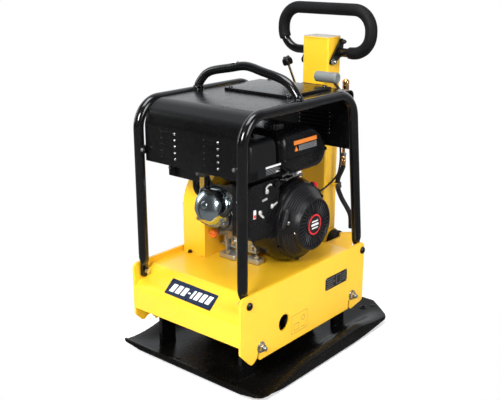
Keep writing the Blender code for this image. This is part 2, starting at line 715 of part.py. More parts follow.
def build_hood():
    hood = add_piece("hood", prism(HOOD, 'X', -HOOD_HALF_W, HOOD_HALF_W), "black_paint", smooth=40)
    slots = bmesh.new()
    for k in range(SLOT_ROWS):
        front_z = SLOT_Z + k * SLOT_PITCH
        rear_z = front_z + REAR_SLOT_RISE
        for left, right, y, z in ((-115, -57, HOOD_FRONT, front_z), (50, 105, HOOD_FRONT, front_z),
                                  (-26, 94, HOOD_REAR, rear_z)):
            box((left, y - 8, z - SLOT_HALF_H), (right, y + 8, z + SLOT_HALF_H), mesh=slots)
    cut(hood, slots)
    add_piece("hood_lid", box((-125, -53, HOOD_TOP + GAP), (125, 166, HOOD_TOP + 10), 4),
              "black_paint")


def build_column_rest_pad():
    """Ribbed rubber pad on the hood's back, against which the column rests."""
    outline = []
    for k in range(6):
        x = -40 + RIB_PITCH * k
        outline += [(x, PAD_CREST_Y), (x + 8, PAD_CREST_Y),
                    (x + 9, PAD_VALLEY_Y), (x + 11, PAD_VALLEY_Y)]
    outline += [(32, PAD_CREST_Y), (38, PAD_CREST_Y),
                (PAD_HALF_W, HOOD_REAR + GAP), (-PAD_HALF_W, HOOD_REAR + GAP)]
    add_piece("column_rest_pad", prism(outline, 'Z', 752, 783), "rubber", smooth=0)


# ------------------------------------------------------------------ belt guard
GUARD_Y, GUARD_Z, GUARD_R = -24.5, 424, 136.5   # its round top
GUARD_OUT, GUARD_IN = -201.5, -111              # x of its two faces
GUARD_T = 3.0


def guard_outline(inset, foot):
    """Arched outline, drawn in by inset, standing at height foot."""
    outline = [(GUARD_Y + GUARD_R - inset, foot)]
    for k in range(13):
        angle = math.pi * k / 12
        outline.append((GUARD_Y + (GUARD_R - inset) * math.cos(angle),
                        GUARD_Z + (GUARD_R - inset) * math.sin(angle)))
    outline.append((GUARD_Y - GUARD_R + inset, foot))
    return outline


def build_belt_guard():
    guard = add_piece("belt_guard",
                      prism(guard_outline(0, DECK_Z + GAP), 'X', GUARD_OUT, GUARD_IN),
                      "yellow_paint")
    cut(guard, prism(guard_outline(GUARD_T, 270), 'X', GUARD_OUT + GUARD_T, GUARD_IN - GUARD_T))
    cut(guard, cylinder('X', CRANK, -125, -100, 24, 24))


# --------------------------------------------------------------------- engine
CYL_TILT = math.radians(16.0)  # the cylinder leans up by this much from level
HEAD_X = -30.0
CYL_HALF = 52                  # cylinder's half width and height
CYL_END = -176                 # its front face before tilting
FIN_HALF_X, FIN_HALF_Z = 64, 62
HEAD_FRONT = -206
# rocker cover sections: (y, half width, half height)
ROCKER_TIERS = ((HEAD_FRONT - GAP, 62, 56), (-212, 62, 56), (-214, 58, 52), (-238, 52, 46),
                (-250, 38, 33), (-254, 18, 16))
# mounting feet: (left x, right x, front foot's front y, rear foot's inner y)
ENGINE_FEET = ((-80, -18, -130, 70), (10, 62, -114, 86))
# closed (x, radius) loop: drum with a filleted outer shoulder
FAN_HOUSING = [(36.3, 60), (36.3, HOUSING_R - 8), (39, HOUSING_R - 2), (44, HOUSING_R),
               (92, HOUSING_R), (106, HOUSING_R - 2), (120, HOUSING_R - 6.5),
               (130, HOUSING_R - 10.5), (134, HOUSING_R - 13), (134, HOUSING_R - 21),
               (131, HOUSING_R - 21), (129, HOUSING_R - 15), (119, HOUSING_R - 11),
               (105, HOUSING_R - 7), (92, HOUSING_R - 5), (46, HOUSING_R - 5),
               (41, HOUSING_R - 10), (40, 60)]
# (x, radius): outer face, then inner face
RECOIL_COVER = [(190, 0), (190, 70), (186, 77), (178, 82), (170, 88), (152, 102), (143, 108),
                (140, 117), (134.3, 117), (134.3, 104), (140, 104), (150, 98), (166, 85),
                (175, 79), (182, 74), (186, 68), (186, 0)]
# tank's side outline (y, z): level top, sloping rear shoulder, belly lowest near the front
TANK_SIDE = [(-92, TANK_TOP), (-92, 588), (-8, 554), (128, 562), (150, 612), (112, 668),
             (72, TANK_TOP)]
TANK_MID_Y, TANK_MID_Z = 28.0, 624.0
TANK_LEFT, TANK_RIGHT = -108, 136
PANEL_X = 132                  # outer face of the carburettor panel


def build_engine_block():
    block = add_piece("engine_block", box((-104, -88, 298), (36, 96, 498), 10), "aluminium")
    cut(block, box((-90, -74, 312), (22, 82, 484)))
    join(block, swing(box((HEAD_X - CYL_HALF, CYL_END, CRANK_Z - CYL_HALF),
                          (HEAD_X + CYL_HALF, -84, CRANK_Z + CYL_HALF), 4, 1), -CYL_TILT))
    # cooling fins
    for k in range(5):
        y = -106 - 16 * k
        join(block, swing(box((HEAD_X - FIN_HALF_X, y - 3.5, CRANK_Z - FIN_HALF_Z),
                              (HEAD_X + FIN_HALF_X, y + 3.5, CRANK_Z + FIN_HALF_Z)), -CYL_TILT))
    cut(block, cylinder('X', CRANK, -130, 110, 18.2))
    for left, right, front, rear in ENGINE_FEET:
        for y_low, y_high in ((front, -84), (rear, 122)):
            join(block, box((left, y_low, DECK_Z + GAP), (right, y_high, 306), 3, 1))
    # boss for the oil cap
    join(block, cylinder('Y', OIL_CAP, -124, -82, 11, 16))


def build_cylinder_head():
    add_piece("cylinder_head",
              swing(box((HEAD_X - 66, HEAD_FRONT, CRANK_Z - 60),
                        (HEAD_X + 66, CYL_END - GAP, CRANK_Z + 62), 4, 1), -CYL_TILT), "aluminium")
    # domed rocker cover with squarish sections
    sections = []
    for y, half_width, half_height in ROCKER_TIERS:
        section = []
        for k in range(16):
            angle = 2 * math.pi * (k + 0.5) / 16
            across, upward = [math.copysign(abs(part) ** 0.6, part)
                              for part in (math.cos(angle), math.sin(angle))]
            section.append((HEAD_X + half_width * across, y, CRANK_Z + 2 + half_height * upward))
        sections.append(section)
    add_piece("rocker_cover", swing(loft(sections), -CYL_TILT), "chrome")


def tank_solid(edge, wall=0.0):
    """The tank's shape, drawn in by edge at its rounded ends and by wall all round."""
    outline = rounded([(y, z, 22) for y, z in TANK_SIDE], 3)
    reach_y = max(abs(y - TANK_MID_Y) for y, z in TANK_SIDE)
    reach_z = max(abs(z - TANK_MID_Z) for y, z in TANK_SIDE)
    left, right = TANK_LEFT + wall, TANK_RIGHT - wall
    sections = []
    for x, inset in ((left, edge), (left + edge * 0.3, edge * 0.35), (left + edge, 0.0),
                     (right - edge, 0.0), (right - edge * 0.3, edge * 0.35), (right, edge)):
        scale_y = 1 - (inset + wall) / reach_y
        scale_z = 1 - (inset + wall) / reach_z
        sections.append([(x, TANK_MID_Y + (y - TANK_MID_Y) * scale_y,
                          TANK_MID_Z + (z - TANK_MID_Z) * scale_z) for y, z in outline])
    return loft(sections)


def build_fuel_tank():
    tank = add_piece("fuel_tank", tank_solid(16), "black_paint")
    cut(tank, tank_solid(14, 7.0))
    cut(tank, cylinder('Z', FUEL_CAP, 670, 740, 22))


def build_engine_covers():
    add_piece("fan_housing", lathe(FAN_HOUSING, 'X', CRANK, 26, ring=True), "engine_black")
    add_piece("recoil_cover", lathe(RECOIL_COVER, 'X', CRANK, 26), "engine_black")
    build_fuel_tank()
    add_piece("air_cleaner", box((18, -232, 570), (128, -100, 686), 12), "black_plastic")
    # the control panel's rear edge follows the fan housing
    arc = [(CRANK_Y + (HOUSING_R + 1.0) * math.cos(math.radians(angle)),
            CRANK_Z + (HOUSING_R + 1.0) * math.sin(math.radians(angle)))
           for angle in range(140, 189, 8)]
    front = rounded([(-228, 385, 12), (-228, 566, 10), (-101, 566, 8)], 3)
    add_piece("carburettor_panel", prism(front + arc + [(-129, 385)], 'X', 62, PANEL_X),
              "black_plastic")
    add_piece("muffler", box((-152, -262, 566), (-22, -122, 706), 16), "iron")


# --------------------------------------------------------------- handle column
COL_FRONT, COL_REAR = 247.0, 318.0
COL_TOP, COL_BOTTOM = 932.0, 236.0
COL_WALL = 4.0
LINE_X, LINE_Y = 90.0, 292.0   # hydraulic pipe
COLUMN_PIN = [(-91, 0), (-91, 10), (-89, 12), (89, 12), (91, 10), (91, 0)]   # (x, radius)
COLUMN_BUSH = [(LUG_OUT + GAP, COL_BORE_R), (LUG_OUT + GAP, 32), (63, 34), (84, 34), (88, 31),
               (88, COL_BORE_R)]                                      # (x, radius)
PIPE = [(518, 0), (518, 8), (560, 8), (564, 5.5), (750, 5.5), (752, 11), (796, 11), (800, 8),
        (800, 0)]                                                     # (z, radius)
HOSE = [(LINE_X, LINE_Y, 515.4), (LINE_X, LINE_Y, 510), (83, LINE_Y, 494), (74, 290, 470),
        (74, 289, 440), (91, 290, 404), (122, 294, 356), (124, 300, 306)]


def build_column():
    column = add_piece("handle_column", box((-COL_HALF_W, COL_FRONT, COL_BOTTOM),
                                            (COL_HALF_W, COL_REAR, COL_TOP), 3),
                       "yellow_paint", "body_column")
    # hollow, open at the bottom
    cut(column, box((-COL_HALF_W + COL_WALL, COL_FRONT + COL_WALL, COL_BOTTOM - 30),
                    (COL_HALF_W - COL_WALL, COL_REAR - COL_WALL, COL_TOP - COL_WALL)))
    cut(column, cylinder('X', COL_PIVOT, -70, 70, COL_BORE_R, 16))
    cut(column, cylinder('X', HOOP_PIVOT, -70, 70, 8.6, 12))
    # stubs for the two side levers
    join(column, cylinder('X', LEVER_PIVOT, COL_HALF_W - 2, 119, 6, 12))
    join(column, cylinder('X', LEVER_PIVOT, -85, -COL_HALF_W + 2, 6, 12))
    add_piece("column_pin", lathe(COLUMN_PIN, 'X', COL_PIVOT, 20), "zinc")
    for side, side_name in SIDES:
        add_piece("column_bush_" + side_name,
                  lathe(mirrored(COLUMN_BUSH, side), 'X', COL_PIVOT, 20, ring=True), "rubber")


def build_hydraulic_line():
    """Pipe and hose down the +X side of the column."""
    add_piece("hydraulic_pipe", lathe(PIPE, 'Z', (LINE_X, LINE_Y), 14), "brass", "body_column")
    add_piece("hydraulic_hose", sweep(spline(HOSE), 8.0, 8), "rubber", "body_column")


# ---------------------------------------------------------------- control hoop
HOOP_Y = 303.0
HOOP_HALF_W = 169.0            # centre line of the grip tube
HOOP_LOW, HOOP_HIGH = 881.0, 1016.0
HOOP_BEND_R = 63.0
HOOP_R = 14.0
GRIP_R = 19.5
GRIP_START_X = 93
GRIP_END_Z = 915               # the grip ends above this height on the left
EAR_IN, EAR_OUT = COL_HALF_W + 2.5, COL_HALF_W + 9


def build_hoop():
    path = bend_path([(EAR_OUT, HOOP_Y, HOOP_LOW), (HOOP_HALF_W, HOOP_Y, HOOP_LOW),
                      (HOOP_HALF_W, HOOP_Y, HOOP_HIGH), (-HOOP_HALF_W, HOOP_Y, HOOP_HIGH),
                      (-HOOP_HALF_W, HOOP_Y, HOOP_LOW), (-EAR_OUT, HOOP_Y, HOOP_LOW)],
                     HOOP_BEND_R)
    add_piece("hoop_pipe", sweep(path, HOOP_R, 10, up=(0, 1, 0)), "black_paint", "body_hoop")
    grip_path = [Vector((GRIP_START_X, HOOP_Y, HOOP_LOW))]
    grip_path += [point for point in path[1:] if point.x >= 0 or point.z >= GRIP_END_Z]
    add_piece("hoop_grip", sweep(grip_path, GRIP_R, 10, up=(0, 1, 0), bore=HOOP_R + 0.8),
              "foam", "body_hoop")
    ear = hull([(312, 914, 10), (*HOOP_PIVOT, 11), (HOOP_Y - 4, HOOP_LOW, 17)])
    add_piece("hoop_bracket_left", prism(ear, 'X', -EAR_OUT + GAP, -EAR_IN), "black_paint",
              "body_hoop")
    bracket = add_piece("hoop_bracket_right", prism(ear, 'X', EAR_IN, EAR_OUT - GAP),
                        "black_paint", "body_hoop")
    # the pivot shaft is welded to the right-hand bracket and runs through the column
    join(bracket, cylinder('X', HOOP_PIVOT, -EAR_IN + GAP, COL_HALF_W + 4, 8.0, 16))


# ---------------------------------------------------------------- side levers
THROTTLE_GRIP = (178.0, 820.0)  # y, z
LOCK_KNOB = (201.0, 853.0)      # y, z
LEVER_BORE_R = 6.6
KNOB_HALF_H = 12
KNOB_LAYERS = ((-KNOB_HALF_H, 0.84), (-8.5, 1.0), (8.5, 1.0), (KNOB_HALF_H, 0.84))  # z, scale


def lever_arm(tip):
    """Vector from the lever pivot to a tip given as y, z."""
    return Vector((0, tip[0] - LEVER_PIVOT[0], tip[1] - LEVER_PIVOT[1]))


def add_side_lever(name, x, tip, half_width, hub_r, rod_r, tip_gap, finish):
    """Hub on the lever pivot with a rod that stops tip_gap short of the tip."""
    lever = add_piece(name, lathe([(x - half_width, LEVER_BORE_R), (x - half_width, hub_r),
                                   (x + half_width, hub_r), (x + half_width, LEVER_BORE_R)],
                                  'X', LEVER_PIVOT, 16, ring=True), finish, "body_" + name)
    pivot = Vector((x, *LEVER_PIVOT))
    arm = lever_arm(tip)
    direction = arm.normalized()
    join(lever, sweep([pivot + direction * 9, pivot + direction * (arm.length - tip_gap)],
                      rod_r, 10))


def star_knob():
    """Five-lobed knob whose axis follows the lock lever."""
    star = []
    for k in range(30):
        angle = 2 * math.pi * k / 30
        radius = 15.5 + 5.5 * math.cos(5 * angle)
        star.append((radius * math.cos(angle), radius * math.sin(angle)))
    mesh = loft([[(x * scale, y * scale, z) for x, y in star] for z, scale in KNOB_LAYERS])
    turn = lever_arm(LOCK_KNOB).normalized().to_track_quat('Z', 'Y').to_matrix().to_4x4()
    bmesh.ops.transform(mesh, matrix=Matrix.Translation((LOCK_X, *LOCK_KNOB)) @ turn,
                        verts=mesh.verts)
    return mesh


def build_side_levers():
    add_side_lever("throttle_lever", THROTTLE_X, THROTTLE_GRIP, half_width=6, hub_r=13,
                   rod_r=4.5, tip_gap=20.4, finish="iron")
    add_piece("throttle_grip", cylinder('X', THROTTLE_GRIP, 51.0, 139.0, 20.0, 24, 2.5),
              "grey_plastic", "body_throttle_lever")
    add_side_lever("lock_lever", LOCK_X, LOCK_KNOB, half_width=6, hub_r=12,
                   rod_r=4.0, tip_gap=KNOB_HALF_H + GAP, finish="zinc")
    add_piece("star_knob", star_knob(), "black_plastic", "body_lock_lever")


# -------------------------------------------------------- small engine controls
OIL_SEAT = -124 - GAP
# (y, radius)
OIL_CAP_PROFILE = [(OIL_SEAT, 0), (OIL_SEAT, 11), (-128, 11), (-129, 13.5), (-145, 13.5),
                   (-148, 12), (-148, 4), (-152, 3), (-152, 0)]
RECOIL_ANGLE = math.radians(20)
RECOIL_R = 112                 # handle's distance from the crank line
SWITCH = (97.0, 495.0)         # y, z that the stop switch points at
# levers on the control panel: (name, pivot y, z, tip y, z, hub radius)
PANEL_LEVERS = (("choke_lever", (-160, 538), (-150, 556), 6.0),
                ("speed_lever", (-136, 489), (-118, 497), 5.5),
                ("fuel_valve_lever", (-190, 482), (-180, 466), 6.0))


def build_caps():
    add_body("body_fuel_cap", (*FUEL_CAP, 700))
    ribbed = []
    for k in range(32):
        angle = 2 * math.pi * k / 32
        radius = 30.0 if (k // 2) % 2 == 0 else 28.0
        ribbed.append((FUEL_CAP[0] + radius * math.cos(angle),
                       FUEL_CAP[1] + radius * math.sin(angle)))
    cap = add_piece("fuel_cap", prism(ribbed, 'Z', TANK_TOP + GAP, 711), "black_plastic",
                    "body_fuel_cap")
    join(cap, cylinder('Z', FUEL_CAP, 676, 694, 20))
    add_body("body_oil_cap", (OIL_CAP[0], -132, OIL_CAP[1]))
    add_piece("oil_cap", lathe(OIL_CAP_PROFILE, 'Y', OIL_CAP, 16), "orange_plastic",
              "body_oil_cap")


def build_recoil_handle():
    add_body("body_recoil_handle", (160, CRANK_Y - RECOIL_R * math.cos(RECOIL_ANGLE),
                                    CRANK_Z + RECOIL_R * math.sin(RECOIL_ANGLE)))
    add_piece("recoil_handle", swing(box((151, -122, CRANK_Z - 30), (169, -106, CRANK_Z + 30), 5),
                                     -RECOIL_ANGLE), "black_plastic", "body_recoil_handle")


def build_panel_levers():
    """Small flat levers on the control panel's outer face."""
    for name, pivot, tip, hub_r in PANEL_LEVERS:
        add_body("body_" + name, (PANEL_X, *pivot))
        outline = hull([(*pivot, hub_r), (*tip, 3.5)], 14)
        add_piece(name, prism(outline, 'X', PANEL_X + GAP, PANEL_X + GAP + 3.0), "zinc",
                  "body_" + name)


def build_stop_switch():
    """Button standing on the fan housing's rim."""
    add_body("body_stop_switch", (112, SWITCH[0] + 6, SWITCH[1] + 6))
    angle = math.atan2(SWITCH[1] - CRANK_Z, SWITCH[0] - CRANK_Y)
    add_piece("stop_switch", swing(box((104, CRANK_Y + HOUSING_R - 0.7, CRANK_Z - 9),
                                       (122, CRANK_Y + HOUSING_R + 12.0, CRANK_Z + 9), 2, 1),
                                   angle), "red_plastic", "body_stop_switch")


# ------------------------------------------------------------------- assembly
add_body("body_chassis", (0, 0, 0))
add_body("body_crank", (0, *CRANK))
add_body("body_exciter_drive", (0, *DRIVE_SHAFT))
add_body("body_exciter_driven", (0, *DRIVEN_SHAFT))
add_body("body_column", (0, *COL_PIVOT))
add_body("body_hoop", (0, *HOOP_PIVOT))
add_body("body_throttle_lever", (THROTTLE_X, *LEVER_PIVOT))
add_body("body_lock_lever", (LOCK_X, *LEVER_PIVOT))

# the order sets the numbers of the Boolean helpers
build_base_plate()
build_exciter_housing()
build_eccentric_shafts()
build_crank_line()
build_frame()
build_fasteners()
build_loops()
build_lifting_bar()
build_hood()
build_column_rest_pad()
build_belt_guard()
build_engine_block()
build_cylinder_head()
build_engine_covers()
build_column()
build_hydraulic_line()
build_hoop()
build_side_levers()
build_caps()
build_recoil_handle()
build_panel_levers()
build_stop_switch()
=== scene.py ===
"""A plate compactor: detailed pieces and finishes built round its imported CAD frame.

Sizes are millimetres in the machine's frame, and piece() turns them into metres.
+Z is up, -Y the front and +X the recoil-starter side, called right in the names.
"""
import math

import bmesh
import bpy
from mathutils import Matrix, Vector, noise
from mathutils.geometry import tessellate_polygon


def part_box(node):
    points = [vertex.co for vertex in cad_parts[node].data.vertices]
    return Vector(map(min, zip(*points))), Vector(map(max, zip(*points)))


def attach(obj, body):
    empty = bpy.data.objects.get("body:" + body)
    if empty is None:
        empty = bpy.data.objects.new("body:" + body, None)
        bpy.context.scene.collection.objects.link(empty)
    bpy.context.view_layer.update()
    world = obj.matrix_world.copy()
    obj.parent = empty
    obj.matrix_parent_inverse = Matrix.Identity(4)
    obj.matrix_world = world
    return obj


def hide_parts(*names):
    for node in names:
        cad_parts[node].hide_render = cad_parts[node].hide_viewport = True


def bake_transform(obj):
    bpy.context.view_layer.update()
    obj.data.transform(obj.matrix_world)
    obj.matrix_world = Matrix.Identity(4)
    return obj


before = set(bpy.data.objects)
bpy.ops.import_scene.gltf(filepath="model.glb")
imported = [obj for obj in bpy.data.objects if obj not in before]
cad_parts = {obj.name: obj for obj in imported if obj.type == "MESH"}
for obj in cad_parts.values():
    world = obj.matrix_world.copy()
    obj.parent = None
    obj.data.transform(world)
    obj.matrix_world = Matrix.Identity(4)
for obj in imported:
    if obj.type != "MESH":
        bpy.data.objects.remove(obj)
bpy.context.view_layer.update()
MM = 0.001


def node_box(node):
    low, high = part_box(node)
    return low * 1000.0, high * 1000.0


# ------------------------------------------------------- driving dimensions
# Pairs of numbers are (y, z) places of parts that lie along X.
SIDES = ((-1, "left"), (1, "right"))
FRAME_LO, FRAME_HI = node_box("frame")
PLATE_OUT = FRAME_HI.x                # outer face of the side plates
PLATE_IN = PLATE_OUT - 8.0
FRAME_FRONT, FRAME_REAR = FRAME_LO.y, 243.0
FRAME_TOP, FRAME_BOTTOM = 295.0, 87.0
DECK_Z, DECK_REAR = 278.0, 194.0
BUFFERS = (("front", (-283.0, 125.0)), ("rear", (178.0, 129.0)))
FRAME_BOLTS = (("front", (-334.0, 267.0)), ("rear", (230.0, 268.0)))

LOOP_X, LOOP_RADIUS = 195.0, 15.0
LOOP_TOP, LOOP_FRONT = 782.0, -339.0
LOOP_REAR_TOP, LOOP_REAR_BOTTOM, LOOP_FOOT = 170.0, 231.0, 252.0
LOOP_LEG_Z = 330                      # the legs are round above this height
LIFT_Y = -94

HOOD_LO, HOOD_HI = node_box("hood")
HOOD_TOP, HOOD_FRONT, HOOD_REAR = HOOD_HI.z, HOOD_LO.y, HOOD_HI.y

CRANK_Y, CRANK_Z = CRANK = (0.0, 410.0)
TILT = math.radians(16.0)             # lean of the cylinder about the crank line
HEAD_X = -30.0

COLUMN_X = 49.5                       # half width of the column tube
COLUMN_PIVOT = (285.0, 256.0)
LEVER_PIVOT = (262.0, 745.0)
HOOP_PIVOT = (263.0, 854.0)
HOOP_Y, HOOP_HALF_W, HOOP_LOW, HOOP_HIGH = 303.0, 169.0, 881.0, 1015.0

TANK_LO, TANK_HI = node_box("fuel_tank")
CLEANER_LO, CLEANER_HI = node_box("air_cleaner")
PANEL_LO, PANEL_HI = node_box("carburettor_panel")
PANEL_X = PANEL_HI.x
MUFFLER_LO, MUFFLER_HI = node_box("muffler")
EXCITER_LO, EXCITER_HI = node_box("exciter_housing")


# ---------------------------------------------------------------- materials
class Tree:
    """Builds a shader tree; its methods take and give sockets."""

    def __init__(self, tree):
        self.tree = tree
        tree.nodes.clear()

    def add(self, kind, inputs=None, **settings):
        node = self.tree.nodes.new('ShaderNode' + kind)
        for key, value in settings.items():
            setattr(node, key, value)
        self.feed(node, inputs or {})
        return node

    def feed(self, node, inputs):
        """Give each input a value, or link it to the socket that drives it."""
        for key, value in inputs.items():
            if isinstance(value, bpy.types.NodeSocket):
                self.tree.links.new(value, node.inputs[key])
            else:
                node.inputs[key].default_value = value

    def ramp(self, value, start, end, low=0.0, high=1.0):
        return self.add('MapRange', {'From Min': start, 'From Max': end, 'To Min': low,
                                     'To Max': high, 'Value': value}).outputs[0]

    def multiply(self, a, b):
        return self.add('Math', {0: a, 1: b}, operation='MULTIPLY').outputs[0]


class MaterialTree(Tree):
    def __init__(self, name):
        self.material = bpy.data.materials.new(name)
        self.material.use_nodes = True
        super().__init__(self.material.node_tree)
        self.output = self.add('OutputMaterial')
        self.shader = self.add('BsdfPrincipled')
        self.feed(self.output, {0: self.shader.outputs[0]})
        self.coords = self.add('TexCoord')

    def noise(self, scale, detail=3.0, rough=0.55):
        return self.add('TexNoise', {'Scale': scale, 'Detail': detail, 'Roughness': rough,
                                     'Vector': self.coords.outputs['Object']}).outputs[0]

    def mix(self, factor, a, b):
        """Mix two colours, each an RGB tuple or a socket."""
        a, b = ((*c, 1.0) if isinstance(c, tuple) else c for c in (a, b))
        return self.add('Mix', {0: factor, 6: a, 7: b}, data_type='RGBA').outputs[2]

    def edge(self, radius):
        """1 on edges and 0 on flats, from how far rounding bends the normal."""
        bevel = self.add('Bevel', {'Radius': radius}, samples=4)
        geometry = self.add('NewGeometry')
        dot = self.add('VectorMath', {0: bevel.outputs[0], 1: geometry.outputs['Normal']},
                       operation='DOT_PRODUCT')
        return self.ramp(dot.outputs['Value'], start=0.985, end=0.90)


def surface(name, color, rough=0.4, metal=0.0, drift=0.10, drift_scale=7.0, rough_drift=0.12,
            bump=0.10, bump_scale=420.0, bump_depth=0.0006, coat=0.0, wear=None,
            wear_amount=0.5, wear_radius=0.0012, corner_shade=0.35, fleck=None, spec=0.5):
    """A finish with drifting colour and gloss, fine relief, worn edges, and corners darkened as
    painted shade.

    wear and fleck are colours; depths and radii are in metres.
    """
    tree = MaterialTree(name)
    dark = tuple(c * (1.0 - drift) for c in color)
    light = tuple(min(1.0, c * (1.0 + drift * 0.8) + drift * 0.01) for c in color)
    broad = tree.noise(drift_scale, detail=4.0, rough=0.6)
    paint = tree.mix(tree.ramp(broad, 0.3, 0.7), dark, light)
    mottle = tree.noise(drift_scale * 9.0, detail=5.0, rough=0.65)
    paint = tree.mix(tree.ramp(mottle, 0.35, 0.75, high=0.35), paint, dark)
    if fleck:
        specks = tree.noise(900.0, detail=2.0, rough=0.5)
        paint = tree.mix(tree.ramp(specks, 0.62, 0.72, high=0.6), paint, fleck)
    # painted shade: ambient occlusion darkens the paint towards a dark copy of its colour in
    # corners and creases
    if corner_shade:
        corners = tree.add('AmbientOcclusion', {'Distance': 0.012}, samples=4)
        amount = tree.ramp(corners.outputs['AO'], 0.75, 0.25, high=corner_shade)
        paint = tree.mix(amount, paint, tuple(c * 0.35 + 0.012 for c in color))
    gloss = tree.ramp(mottle, 0.25, 0.8, low=max(0.03, rough - rough_drift),
                      high=min(1.0, rough + rough_drift))
    if wear:
        edge = tree.edge(wear_radius)
        scratches = tree.ramp(tree.noise(85.0, detail=6.0, rough=0.7), 0.48, 0.62)
        amount = tree.multiply(tree.multiply(edge, scratches), wear_amount)
        paint = tree.mix(amount, paint, wear)
    tree.feed(tree.shader, {'Base Color': paint, 'Roughness': gloss, 'Metallic': metal,
                            'Specular IOR Level': spec})
    if coat:
        tree.feed(tree.shader, {'Coat Weight': coat, 'Coat Roughness': 0.12})
    relief = tree.noise(bump_scale, detail=3.0, rough=0.6)
    bumps = tree.add('Bump', {'Strength': bump, 'Distance': bump_depth, 'Height': relief})
    tree.feed(tree.shader, {'Normal': bumps.outputs[0]})
    return tree.material


